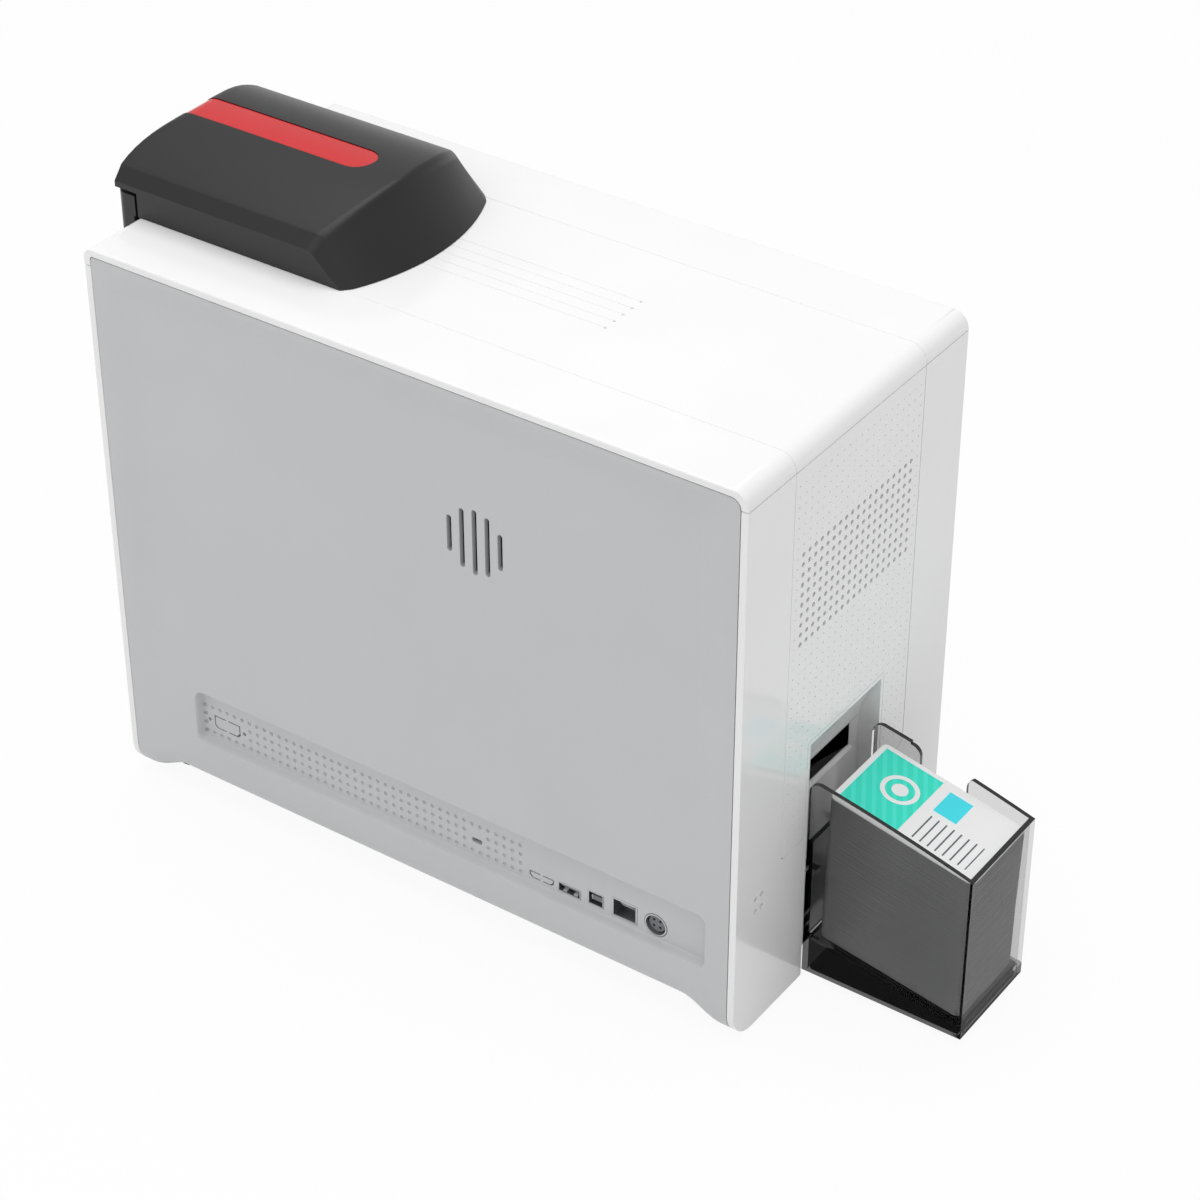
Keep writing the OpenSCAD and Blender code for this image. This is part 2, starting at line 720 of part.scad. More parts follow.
module control_button(i) color(plastic) place() {
    back = body_w - door_t + button_step;
    rod_y(button_x(i), button_z, back, body_w - button_step, button_r);
    rod_y(button_x(i), button_z, back - 2.8, back + eps, button_r - button_stem);
}

module power_button() control_button(0);

module up_button() control_button(1);

module down_button() control_button(2);

module select_button() control_button(3);

module status_lights() color("#7fd6a0") place()
    for (i = [-1:1]) rod_y(display_x + i * light_pitch, lights_z, body_w - door_t - 2, body_w - 0.1,
        light_r - 0.05, $fn = 32);

module door_latch() color(plastic) place() {
    box([latch_x - latch_w / 2, body_w - door_t, latch_z - latch_h / 2],
        [latch_x + latch_w / 2, body_w - 0.3, latch_z + latch_h / 2]);
    end = body_w - door_t - latch_arm;
    box([latch_x - latch_arm_t, end + latch_arm_t, latch_z - latch_arm_half],
        [latch_x + 1, body_w - door_t + eps, latch_z + latch_arm_half]);
    box([latch_x - 6, end, latch_z - latch_arm_half],
        [latch_x + 1, end + latch_arm_t + eps, latch_z + latch_arm_half]);
}

// ---------- output hopper ----------

hop_x0 = body_l - 1;
hop_x1 = hop_x0 + hop_l;
hop_y0 = path_y - hop_w / 2;
hop_y1 = path_y + hop_w / 2;
hop_back_h = 88;
hop_corner = 6;
hop_bulge = 1.2;
stack_gap = 0.4;
stack_x = hop_x0 + hop_t + 4.9;
stack_z = hop_z + 25;
stack_y0 = path_y - card_w / 2 - 0.7;
floor_slope = 10;
top_slope = 12.2;
stack_lean = 2.2 / 93;
finger_x = hop_x0 + 43;
finger_half = 14;
finger_z = 62;
boss_r = 3;
boss_in = 2.5;
hook_end = 0.5;

// height of the hopper's side at a distance x from its start
function hop_top(x) = let(u = (x - hop_corner) / (hop_l - hop_corner))
    hop_h + u * (hop_end_h - hop_h) + 4 * hop_bulge * u * (1 - u);

module hop_side_outline() {
    polygon(concat(
        [[hop_x0, hop_z], [hop_x1, hop_z]],
        [for (i = [0:8]) let(x = hop_l - i * (hop_l - hop_corner) / 8) [hop_x0 + x, hop_top(x)]],
        [for (a = [105:15:180])
            [hop_x0 + hop_corner * (1 + cos(a)), hop_h + hop_corner * (sin(a) - 1)]]));
}

// top of the sloped floor at x
function hop_floor(x) = stack_z - stack_gap / cos(floor_slope) - (x - stack_x) * tan(floor_slope);

module hopper_tray() color(clear) place() {
    in_x0 = hop_x0 + hop_t;
    in_x1 = hop_x1 - hop_t;
    difference() {
        slab_y(hop_y0, hop_y1) hop_side_outline();
        slab_y(hop_y0 + hop_t, hop_y1 - hop_t) polygon([[in_x0, hop_floor(in_x0)],
            [in_x1, hop_floor(in_x1)], [in_x1, hop_h + 9], [in_x0, hop_h + 9]]);
        slab_y(hop_y0 + hop_t, hop_y1 - hop_t) polygon([[in_x0, hop_z - 1], [in_x1, hop_z - 1],
            [in_x1, hop_floor(in_x1) - hop_t], [in_x0, hop_floor(in_x0) - hop_t]]);
        box([hop_x0 - 1, hop_y0 + hop_t, hop_back_h], [in_x0 + 1, hop_y1 - hop_t, hop_h + 9]);
        slab_y(hop_y1 - hop_t - 1, hop_y1 + 1) 
            round_rect([finger_x - finger_half, finger_z], [finger_x + finger_half, hop_h + 20], 6);
    }
    for (y = [hop_y0 + hop_t + boss_in, hop_y1 - hop_t - boss_in])
        rod_z(in_x1 - boss_in, y, hop_z, hop_floor(in_x1) - hop_t, boss_r);
    for (y = hook_spots) {
        x = niche_x - niche_t - hook_t;
        box([x, y - hook_w / 2, hook_z], [hop_x0 + eps, y + hook_w / 2, hook_z + hook_t]);
        box([x, y - hook_w / 2, hook_z], [x + hook_t - hook_end, y + hook_w / 2, hook_z + hook_h]);
    }
}

// the cards' outline in x and z between two heights over the lowest card
module stack_outline(h0, h1) {
    run0 = card_l * cos(floor_slope);
    run1 = card_l * cos(top_slope);
    polygon([[stack_x + h0 * stack_lean, stack_z + h0],
        [stack_x + h0 * stack_lean + (h0 > 0 ? run1 : run0),
            stack_z + h0 - card_l * sin(h0 > 0 ? top_slope : floor_slope)],
        [stack_x + h1 * stack_lean + run1, stack_z + h1 - card_l * sin(top_slope)],
        [stack_x + h1 * stack_lean, stack_z + h1]]);
}

module card_stack() color(plastic) place()
    slab_y(stack_y0, stack_y0 + card_w) stack_outline(0, stack_h);

module top_card() color("#40e0c8") place()
    slab_y(stack_y0, stack_y0 + card_w) stack_outline(stack_h + 0.01, stack_h + 0.01 + card_t);

// ---------- feeder ----------

hood_mid = mid_y;
hood_half = hood_w / 2;
top_z = body_h;
hood_x0 = -nose_l;
hood_low = nose_h + hood_gap;
hood_side_h = 17.2;
hood_bevel = 6.25;
rear_run = 20.5;
hood_chamfer = 18;
hood_front_r = 12;
hood_blend = 3;
nose_drop = 46;
nose_wall = 2.5;
nose_x1 = 1;

function blend_min(a, b, k) = let(h = max(k - abs(a - b), 0) / k) min(a, b) - h * h * k / 4;

// at a distance d in from the hood's side: its rear arc, its rear edge with the corners cut off,
// and the crease where the crown turns down into the rear face
function hood_arc(d) = let(u = hood_half - d) hood_l - back_r + sqrt(back_r * back_r - u * u);
function hood_edge(d) = min(hood_arc(d), hood_l - hood_chamfer + d);
function hood_crease(d) = hood_arc(d) - rear_run;

function hood_crown(d) = hood_h - crown_r + sqrt(crown_r * crown_r - pow(hood_half - d, 2));

// height of the hood between its front and its rear slope: bevel along the side, then the crown
function hood_ridge(d) = d > hood_bevel ? hood_crown(d)
    : hood_side_h + (hood_crown(hood_bevel) - hood_side_h) * d / hood_bevel;

function hood_front(x) = let(a = max(hood_front_r - (x - hood_x0), 0))
    hood_h - hood_front_r + sqrt(hood_front_r * hood_front_r - a * a) + (a > 0 ? 0 : hood_blend);

// height of the hood over the housing's top, at x and a distance d in from its side
function hood_height(x, d) = let(
    rear = hood_ridge(d) * (hood_edge(d) - x) / (hood_edge(d) - hood_crease(d)))
    blend_min(min(hood_ridge(d), hood_front(x)), rear, hood_blend);

// where the hood's outer form changes along x: rounded front edge, rounded crease, rear edge
function hood_stations(d) = concat(
    [for (a = [0:11.25:90]) hood_x0 + hood_front_r * (1 - cos(a))],
    [for (i = [-3:3]) hood_crease(d) + i * hood_blend / 3],
    [hood_edge(d)]);

// the hood's outer form moved inwards by t, as a grid of heights over its footprint
module hood_form(t) {
    half = concat([0, 2, 4, hood_bevel], [for (i = [1:10]) hood_bevel + (hood_half - hood_bevel) * i / 10]);
    d_list = concat([for (d = half) [d, -1]], [for (i = [len(half) - 2:-1:0]) [half[i], 1]]);
    nv = len(d_list);
    nu = len(hood_stations(0)) - 1;
    grid = [for (i = [0:nu], e = d_list) let(
        d = e[0],
        x = hood_stations(d)[i],
        l = hood_edge(d) - hood_x0)
        [hood_x0 + t + (x - hood_x0) * (l - 2.4 * t) / l,
         hood_mid + e[1] * (hood_half - d) * (hood_half - t) / hood_half,
         max(hood_height(x, d) - t, 0.2)]];
    count = (nu + 1) * nv;
    points = concat([for (p = grid) [p.x, p.y, top_z + p.z]],
        [for (p = grid) [p.x, p.y, top_z + hood_floor_z]]);
    function at(i, j) = i * nv + j;
    faces = concat(
        [for (i = [0:nu - 1], j = [0:nv - 2]) [at(i, j), at(i, j + 1), at(i + 1, j + 1)]],
        [for (i = [0:nu - 1], j = [0:nv - 2]) [at(i, j), at(i + 1, j + 1), at(i + 1, j)]],
        [for (i = [0:nu - 1], j = [0:nv - 2])
            [count + at(i, j), count + at(i + 1, j + 1), count + at(i, j + 1)]],
        [for (i = [0:nu - 1], j = [0:nv - 2])
            [count + at(i, j), count + at(i + 1, j), count + at(i + 1, j + 1)]],
        [for (j = [0:nv - 2]) [at(0, j + 1), at(0, j), count + at(0, j), count + at(0, j + 1)]],
        [for (j = [0:nv - 2]) [at(nu, j), at(nu, j + 1), count + at(nu, j + 1), count + at(nu, j)]],
        [for (i = [0:nu - 1]) [at(i, 0), at(i + 1, 0), count + at(i + 1, 0), count + at(i, 0)]],
        [for (i = [0:nu - 1])
            [at(i + 1, nv - 1), at(i, nv - 1), count + at(i, nv - 1), count + at(i + 1, nv - 1)]]);
    polyhedron(points, faces);
}

hood_floor_z = -1;
// ribs under the hood's rear edge that run in the tracks
rib_x0 = 5.2;
rib_x1 = 9.6;
rib_gap = 0.2;
rib_top = 5.5;
hood_lift = 0.3;
window_y = mid_y + 0.5;

// plan of the window: open at the front, round at its far end
module window_plan(gap) {
    r = window_w / 2 + gap;
    translate([hood_x0 - 5, window_y - r]) square([window_l - window_w / 2 - hood_x0 + 5, 2 * r]);
    translate([window_l - window_w / 2, window_y]) circle(r);
}

module hood_trim() {
    box([hood_x0 - 5, -1, top_z - 2], [hood_l + 5, body_w, top_z + hood_lift]);
    box([hood_x0 - 5, -1, top_z - 2], [nose_x1 + hood_gap - 0.4, body_w, top_z + hood_low]);
}

module feeder_hood() color(black) place() {
    difference() {
        hood_form(0);
        hood_form(hood_t);
        hood_trim();
        translate([0, 0, top_z + hood_low]) linear_extrude(hood_h) window_plan(0.15);
    }
    for (i = [0:track_n - 1]) {
        y = track_y0 + i * track_pitch;
        box([hood_l - rib_x1, y - groove_w / 2 + rib_gap, top_z - groove_d + rib_gap],
            [hood_l - rib_x0, y + groove_w / 2 - rib_gap, top_z + rib_top]);
    }
}

module hood_window() color(red) place() difference() {
    intersection() {
        difference() {
            hood_form(0.4);
            hood_form(hood_t);
        }
        translate([0, 0, top_z + hood_low]) linear_extrude(hood_h) window_plan(0);
    }
}

// fixed nose hung on the feeder end, open towards the housing and at the top
module feeder_nose() color(black) place() {
    r = 6;
    y0 = hood_mid - hood_half;
    y1 = hood_mid + hood_half;
    outline_x1 = -0.3;
    difference() {
        union() {
            intersection() {
                translate([0, 0, top_z - nose_drop]) linear_extrude(nose_drop + nose_h) difference() {
                    round_rect([hood_x0, y0], [20, y1], r);
                    translate([outline_x1, 0]) square([40, body_w]);
                }
                slab_y(0, body_w) polygon([[hood_x0, top_z + nose_h], [hood_x0, top_z - nose_drop + 14],
                    [outline_x1, top_z - nose_drop], [outline_x1, top_z + nose_h]]);
            }
            for (y = [y0, y1 - nose_wall])
                box([outline_x1 - 1, y, top_z + hood_lift], [nose_x1, y + nose_wall, top_z + nose_h]);
        }
        slab_y(y0 + nose_wall, y1 - nose_wall) polygon([[hood_x0 + nose_wall, top_z + nose_h + 1],
            [hood_x0 + nose_wall, top_z - nose_drop + 15], [outline_x1 + 1, top_z - nose_drop + 3],
            [outline_x1 + 1, top_z + nose_h + 1]]);
    }
}

seal_t = 2;
seal_gap = 0.3;

// dark red strips that close the gaps between nose and hood from inside
module nose_seal() color("#701818") place()
    for (y = [hood_mid - hood_half + nose_wall + seal_gap,
              hood_mid + hood_half - nose_wall - seal_gap - seal_t])
        box([-2, y, top_z + hood_lift], [nose_x1 + 5, y + seal_t, top_z + nose_h]);

mag_gap = 0.6;
mag_t = 2;
mag_x0 = wall + 4;
mag_in_x = mag_x0 + mag_t;
mag_out_x = mag_in_x + card_l + 2 * mag_gap;
mag_x1 = mag_out_x + mag_t;
mag_in_y = path_y - card_w / 2 - mag_gap;
mag_out_y = path_y + card_w / 2 + mag_gap;
mag_y0 = mag_in_y - mag_t;
mag_y1 = mag_out_y + mag_t;
gate_h = 1.6;
feed_x = mag_out_x - 20;
feed_w = 28;
cutout_in = 30;
cutout_lift = 12;

module card_magazine() color([0.5, 0.12, 0.12, 0.7]) place() difference() {
    box([mag_x0, mag_y0, path_z - mag_t], [mag_x1, mag_y1, body_h - 0.2]);
    box([mag_in_x, mag_in_y, path_z], [mag_out_x, mag_out_y, body_h + 1]);
    box([mag_out_x - 1, mag_in_y, path_z], [mag_x1 + 1, mag_out_y, path_z + gate_h]);
    box([feed_x - roller_r - 2, path_y - feed_w / 2 - 1.5, path_z - mag_t - 1],
        [feed_x + roller_r + 2, path_y + feed_w / 2 + 1.5, path_z + 1]);
    box([mag_x0 + cutout_in, mag_out_y - 1, path_z + cutout_lift],
        [mag_x1 - cutout_in, mag_y1 + 1, body_h + 1]);
}

blank_gap = 0.05;

module blank_cards() color("#ececec") place()
    box([mag_in_x + mag_gap, path_y - card_w / 2, path_z + blank_gap],
        [mag_in_x + mag_gap + card_l, path_y + card_w / 2, path_z + blank_gap + blanks_h]);

weight_h = 9;
weight_gap = 1;
weight_rim = [11, 7];
weight_floor = 3;
weight_bar_r = 2.5;

module card_weight() color(plastic) place() {
    z = path_z + blank_gap + blanks_h + 0.1;
    difference() {
        box([mag_in_x + weight_gap, mag_in_y + weight_gap, z],
            [mag_out_x - weight_gap, mag_out_y - weight_gap, z + weight_h]);
        box([mag_in_x + weight_gap + weight_rim.x, mag_in_y + weight_gap + weight_rim.y, z + weight_floor],
            [mag_out_x - weight_gap - weight_rim.x, mag_out_y - weight_gap - weight_rim.y, z + weight_h + 1]);
    }
    rod_x(path_y, z + weight_h - weight_floor, mag_in_x + weight_rim.x, mag_out_x - weight_rim.x,
        weight_bar_r, $fn = 32);
}

// ---------- mechanism ----------

front_h = 150;
spool_lift = 100;
takeup_r = 15;
rear_h = path_z + spool_lift + 47.3;
roller_z = path_z - grip_gap - roller_r;
bore_r = shaft_r + run_gap;
pinch_r = 6;
pinch_z = card_top + grip_gap + pinch_r;
cleaner_r = 9;
cleaner_z = card_top + grip_gap + cleaner_r;
exit_x = niche_x - niche_t - roller_r - 4.5;
turner_x = exit_x - roller_r - 4 - turner_r;
// the rollers keep their shares of the room between the magazine and the turner
outlet_gap = 10.3;
outlet_x = turner_x - turner_r - roller_r - outlet_gap;
path_l = 162;
path_share = (outlet_x - mag_x1) / path_l;
cleaner_x = mag_x1 + 17 * path_share;
inlet_x = mag_x1 + 42 * path_share;
platen_x = mag_x1 + 106 * path_share;
turner_z = path_z + card_t / 2;
turner_shaft_r = 4;
pivot_x = platen_x + 64 * path_share;
pivot_z = path_z + 55;
pivot_r = 3;
supply = [platen_x - 64 * path_share, path_z + spool_lift];
takeup = [platen_x + 42 * path_share, path_z + spool_lift];
spool_shaft_r = 3;
drive_r = gear_m * gear_n / 2;
pinion_r = gear_m * pinion_n / 2;
motor_z = roller_z - drive_r - pinion_r;
motor_s = 42;
motor_l = 34;
motor_chamfer = 6;
motor_collar_r = 11;
motor_shaft_r = 2.5;
turner_motor_l = 30;
gear_hole_r = 3.5;
gear_hole_ring = 0.6;
gear_y1 = frame_y0 - plate_t - 1.5;
gear_y0 = gear_y1 - 7;
pulley_y1 = gear_y0 - 2;
pulley_y0 = pulley_y1 - 8;
rubber_y0 = path_y - 25;
rubber_y1 = path_y + 25;
shaft_y1 = frame_y1 + plate_t + 4;
shaft_y0 = frame_y0 - plate_t - 3;
driven = [feed_x, inlet_x, platen_x, outlet_x, exit_x];

module shaft_holes(y) {
    for (x = driven) rod_y(x, roller_z, y - 1, y + plate_t + 1, bore_r);
    for (x = [inlet_x, outlet_x]) rod_y(x, pinch_z, y - 1, y + plate_t + 1, bore_r);
    rod_y(cleaner_x, cleaner_z, y - 1, y + plate_t + 1, bore_r);
    rod_y(turner_x, turner_z, y - 1, y + plate_t + 1, turner_shaft_r + run_gap);
    rod_y(pivot_x, pivot_z, y - 1, y + plate_t + 1, pivot_r);
    for (p = tie_spots) rod_y(p.x, p.y, y - 1, y + plate_t + 1, 2.2);
}

tie_spots = [[frame_x0 + 6, floor_z + 12], [frame_x1 - 8, floor_z + 12], [outlet_x - 16, floor_z + 12],
    [mag_x1 + 8, front_h - 8], [frame_x1 - 8, front_h - 8]];

// foot of a frame plate, with holes for the screws through the base
module flange(y0, y1) difference() {
    box([frame_x0, y0, floor_z], [frame_x1, y1, floor_z + plate_t]);
    for (p = base_screw_spots) rod_z(p.x, p.y, floor_z - 1, floor_z + plate_t + 1, screw_r + 0.2);
}

module frame_rear() color(steel) place() {
    y = frame_y0 - plate_t;
    difference() {
        slab_y(y, y + plate_t) difference() {
            union() {
                translate([frame_x0, floor_z]) square([frame_x1 - frame_x0, front_h - floor_z]);
                round_rect([supply.x - 22, front_h - 20], [pivot_x + 26, rear_h], 8);
            }
            round_rect([frame_x0 + 14, floor_z + 16], [inlet_x + 10, roller_z - 22], 6);
            round_rect([supply.x + 22, front_h + 6], [takeup.x - 20, rear_h - 12], 8);
            round_rect([pivot_x - 8, floor_z + 16], [turner_x + 50, turner_z - 22], 6);
        }
        shaft_holes(y);
        for (p = [supply, takeup]) rod_y(p.x, p.y, y - 1, y + plate_t + 1, spool_shaft_r + run_gap);
        rod_y(platen_x, motor_z, y - 1, y + plate_t + 1, motor_collar_r + 0.2);
    }
    flange(y - flange_w, y + eps);
}

module frame_front() color(steel) place() {
    y = frame_y1;
    difference() {
        slab_y(y, y + plate_t) difference() {
            union() {
                translate([frame_x0, floor_z]) square([frame_x1 - frame_x0, front_h - floor_z]);
                round_rect([pivot_x - 14, front_h - 20], [pivot_x + 14, pivot_z + 13], 8);
            }
            round_rect([frame_x0 + 14, floor_z + 16], [inlet_x + 10, roller_z - 22], 6);
            round_rect([platen_x - 30, floor_z + 16], [platen_x + 30, roller_z - 12], 6);
            round_rect([platen_x - 36, card_top + 18], [platen_x + 36, front_h + 20], 8);
        }
        shaft_holes(y);
    }
    flange(y + plate_t - eps, y + plate_t + flange_w);
}

module tie_bars() color(steel) place()
    for (p = tie_spots) {
        rod_y(p.x, p.y, frame_y0 + 0.05, frame_y1 - 0.05, 4);
        for (y = [frame_y0 - plate_t - 2, frame_y1 + plate_t]) rod_y(p.x, p.y, y, y + 2, 3.6);
        rod_y(p.x, p.y, frame_y0 - plate_t - 1, frame_y1 + plate_t + 1, 2.15);
    }

// flat rails that carry the card's edges between the rollers
module card_guides() color(plastic) place()
    for (s = [[mag_x1 + 1, inlet_x - roller_r - 1.5], [inlet_x + roller_r + 1.5, platen_x - roller_r - 2],
              [platen_x + roller_r + 2, outlet_x - roller_r - 1.5]])
        for (e = [[frame_y0 + 0.05, mag_in_y + 5], [mag_out_y - 5, frame_y1 - 0.05]]) {
            box([s.x, e.x, path_z - 3], [s.y, e.y, path_z - 0.1]);
            side = e.x < path_y ? [e.x, mag_in_y] : [mag_out_y, e.y];
            box([s.x, side.x, path_z - 0.1 - eps], [s.y, side.y, path_z + 2.5]);
        }

// a roller on its shaft, with collars at the frame plates
module roller(x, z, r, y0, y1) {
    rod_y(x, z, y0, y1, r);
    rod_y(x, z, shaft_y0, y0 + eps, shaft_r);
    rod_y(x, z, y1 - eps, shaft_y1, shaft_r);
    for (y = [frame_y0 + 0.5, frame_y1 - 2]) rod_y(x, z, y, y + 1.5, shaft_r + 1.5);
}

// a flanged pulley behind the rear frame plate
module pulley(x) {
    rod_y(x, roller_z, pulley_y0, shaft_y0 + eps, shaft_r);
    rod_y(x, roller_z, pulley_y0 + 1, pulley_y1 - 1, roller_r - 0.5);
    for (y = [pulley_y0, pulley_y1 - 0.8]) rod_y(x, roller_z, y, y + 0.8, roller_r + 1.2);
}

module feed_roller() color(rubber) place() {
    roller(feed_x, roller_z, roller_r, path_y - feed_w / 2, path_y + feed_w / 2);
    pulley(feed_x);
}

module inlet_roller() color(rubber) place() {
    roller(inlet_x, roller_z, roller_r, rubber_y0, rubber_y1);
    pulley(inlet_x);
}

module platen_roller() color(rubber) place() {
    roller(platen_x, roller_z, roller_r, rubber_y0, rubber_y1);
    pulley(platen_x);
}

module outlet_roller() color(rubber) place() {
    roller(outlet_x, roller_z, roller_r, rubber_y0, rubber_y1);
    pulley(outlet_x);
}

module exit_roller() color(rubber) place() {
    roller(exit_x, roller_z, roller_r, rubber_y0, rubber_y1);
    pulley(exit_x);
}

module inlet_pinch() color(steel) place() roller(inlet_x, pinch_z, pinch_r, rubber_y0, rubber_y1);

module outlet_pinch() color(steel) place() roller(outlet_x, pinch_z, pinch_r, rubber_y0, rubber_y1);

module cleaning_roller() color("#4f86c6") place()
    roller(cleaner_x, cleaner_z, cleaner_r, rubber_y0 - 1, rubber_y1 + 1);

belt_t = 1.2;
belt_gap = 0.15;

module timing_belt() color(rubber) place()
    slab_y(pulley_y0 + 1.6, pulley_y1 - 1.6) difference() {
        belt_loop(roller_r - 0.5 + belt_gap + belt_t);
        belt_loop(roller_r - 0.5 + belt_gap);
    }

module belt_loop(r) {
    translate([feed_x, roller_z - r]) square([exit_x - feed_x, 2 * r]);
    for (x = [feed_x, exit_x]) translate([x, roller_z]) circle(r);
}

// spur gear with involute flanks, thinned for backlash; a tooth points along turn
module gear_outline(n, turn) {
    pitch = gear_m * n / 2;
    base = pitch * cos(20);
    tip = pitch + 0.8 * gear_m;
    root = pitch - 1.15 * gear_m;
    thin = 0.12 * gear_m;
    inv20 = tan(20) * 180 / PI - 20;
    half = 90 / n + inv20 - thin / pitch * 180 / PI;
    function roll(r) = r <= base ? 0 : sqrt(pow(r / base, 2) - 1) * 180 / PI - acos(base / r);
    low = max(base, root + 0.1);
    radii = concat([root], [for (i = [0:3]) low + i / 3 * (tip - low)]);
    last = len(radii) - 1;
    polygon([for (k = [0:n - 1], s = [-1, 1], i = [0:last])
        let(r = radii[s < 0 ? i : last - i], a = turn + k * 360 / n + s * (half - roll(r)))
        [r * cos(a), r * sin(a)]]);
}

module drive_gear() color("#e8e0c8") place() difference() {
    slab_y(gear_y0, gear_y1) translate([platen_x, roller_z]) gear_outline(gear_n, -90);
    rod_y(platen_x, roller_z, gear_y0 - 1, gear_y1 + 1, shaft_r);
    ring = drive_r * gear_hole_ring;
    for (a = [0:60:300])
        rod_y(platen_x + ring * cos(a), roller_z + ring * sin(a), gear_y0 - 1, gear_y1 + 1, gear_hole_r);
}

module motor_pinion() color("#d8b050") place() {
    slab_y(gear_y0, gear_y1) translate([platen_x, motor_z])
        gear_outline(pinion_n, 90 + 180 / pinion_n);
    rod_y(platen_x, motor_z, gear_y1 - eps, frame_y0 + 4, motor_shaft_r);
}

module square_motor(x, z, y0, y1) {
    half = motor_s / 2;
    slab_y(y0, y1) difference() {
        translate([x - half, z - half]) square(motor_s);
        for (a = [0:90:270]) translate([x, z]) rotate(a) translate([half, half]) rotate(45)
            square(motor_chamfer, center = true);
    }
}

module drive_motor() color(steel) place() difference() {
    union() {
        square_motor(platen_x, motor_z, frame_y0, frame_y0 + motor_l);
        rod_y(platen_x, motor_z, frame_y0 - plate_t, frame_y0 + eps, motor_collar_r);
    }
    rod_y(platen_x, motor_z, frame_y0 - plate_t - 1, frame_y0 + 6, motor_shaft_r + 0.2);
}

module turner_motor() color(steel) place() difference() {
    y = frame_y1 + plate_t;
    square_motor(turner_x, turner_z, y, y + turner_motor_l);
    rod_y(turner_x, turner_z, y - 1, y + 14, turner_shaft_r + 0.2);
    for (p = tie_spots) rod_y(p.x, p.y, y - 1, y + 4, 4);
}

disc_t = 2.5;
disc_gap = 3;
disc_hole_r = 9;
disc_hole_ring = 26;
rail_hold = 6;
turner_bar_r = 3;
turner_bar_out = 30;

// turns the card over: two discs, card rails between them, and a shaft stub each side
module card_turner() color("#8c9094") place() {
    y0 = frame_y0 + disc_gap;
    y1 = frame_y1 - disc_gap;
    for (y = [y0, y1 - disc_t]) difference() {
        rod_y(turner_x, turner_z, y, y + disc_t, turner_r, $fn = 128);
        for (a = [45:90:315])
            rod_y(turner_x + disc_hole_ring * cos(a), turner_z + disc_hole_ring * sin(a),
                y - 1, y + disc_t + 1.5, disc_hole_r);
    }
    for (s = [-1, 1]) {
        z0 = turner_z + (s > 0 ? card_t : -card_t - disc_t);
        for (y = [[y0 + disc_t - eps, mag_in_y + rail_hold], [mag_out_y - rail_hold, y1 - disc_t + eps]])
            box([turner_x - turner_r + 3, y.x, z0], [turner_x + turner_r - 3, y.y, z0 + disc_t]);
        rod_y(turner_x, turner_z + s * turner_bar_out, y0 + disc_t - 0.1, y1 - disc_t + 0.1, turner_bar_r);
    }
    rod_y(turner_x, turner_z, frame_y0 - plate_t - 3, y0 + eps, turner_shaft_r);
    rod_y(turner_x, turner_z, y1 - eps, frame_y1 + plate_t + 12, turner_shaft_r);
    for (y = [frame_y0 + 0.6, frame_y1 - 2.6]) rod_y(turner_x, turner_z, y, y + 2, turner_shaft_r + 2);
}

module head_shaft() color(steel) place() {
    rod_y(pivot_x, pivot_z, frame_y0 - plate_t, frame_y1 + plate_t, pivot_r);
    for (y = [frame_y0 - plate_t - 1.5, frame_y1 + plate_t]) rod_y(pivot_x, pivot_z, y, y + 1.5, pivot_r + 2);
}

arm_t = 3;
arm_y0 = frame_y0 + 2.5;
arm_y1 = frame_y1 - 2.5;
head_z = card_top + grip_gap + 0.4;
head_half = 9;
head_h = 30;
bar_h = 6;
lever_r = 5;
lever_l = 16;
eye_r = 9;
nib_half = 3;
nib_h = 6;

module arm_outline() {
    difference() {
        union() {
            translate([pivot_x, pivot_z]) circle(eye_r);
            polygon([[pivot_x, pivot_z + eye_r], [pivot_x + 5, pivot_z - 7.5], [platen_x + 18, head_z + 18],
                [platen_x - head_half - 4, head_z + 18],
                [platen_x - head_half - 4, head_z + head_h + bar_h + 10],
                [platen_x + 14, head_z + head_h + bar_h + 12]]);
        }
        translate([pivot_x, pivot_z]) circle(pivot_r + run_gap);
    }
}

module head_arm() color("#7d8286") place() {
    for (y = [arm_y0, arm_y1 - arm_t]) slab_y(y, y + arm_t) arm_outline();
    box([platen_x - head_half, arm_y0 + arm_t - eps, head_z + head_h],
        [platen_x + head_half, arm_y1 - arm_t + eps, head_z + head_h + bar_h]);
    rod_y(platen_x - 4, head_z + head_h + bar_h + 4, arm_y1 - eps, arm_y1 + lever_l, lever_r);
    box([platen_x - head_half - 4, arm_y0 + arm_t - eps, head_z + head_h + bar_h + 5],
        [platen_x - head_half + 4, arm_y1 - arm_t + eps, head_z + head_h + bar_h + 10]);
}

module print_head() color("#c9a23c") place() {
    slab_y(rubber_y0 - 2, rubber_y1 + 2) polygon([[platen_x - nib_half, head_z],
        [platen_x + nib_half, head_z], [platen_x + head_half, head_z + nib_h],
        [platen_x + head_half, head_z + head_h], [platen_x - head_half, head_z + head_h],
        [platen_x - head_half, head_z + nib_h]]);
}

core_r = 9;
knob_r = 12;
grip_r = 10;
knob_y = frame_y1 + 8;
grip_y = frame_y1 + 14;

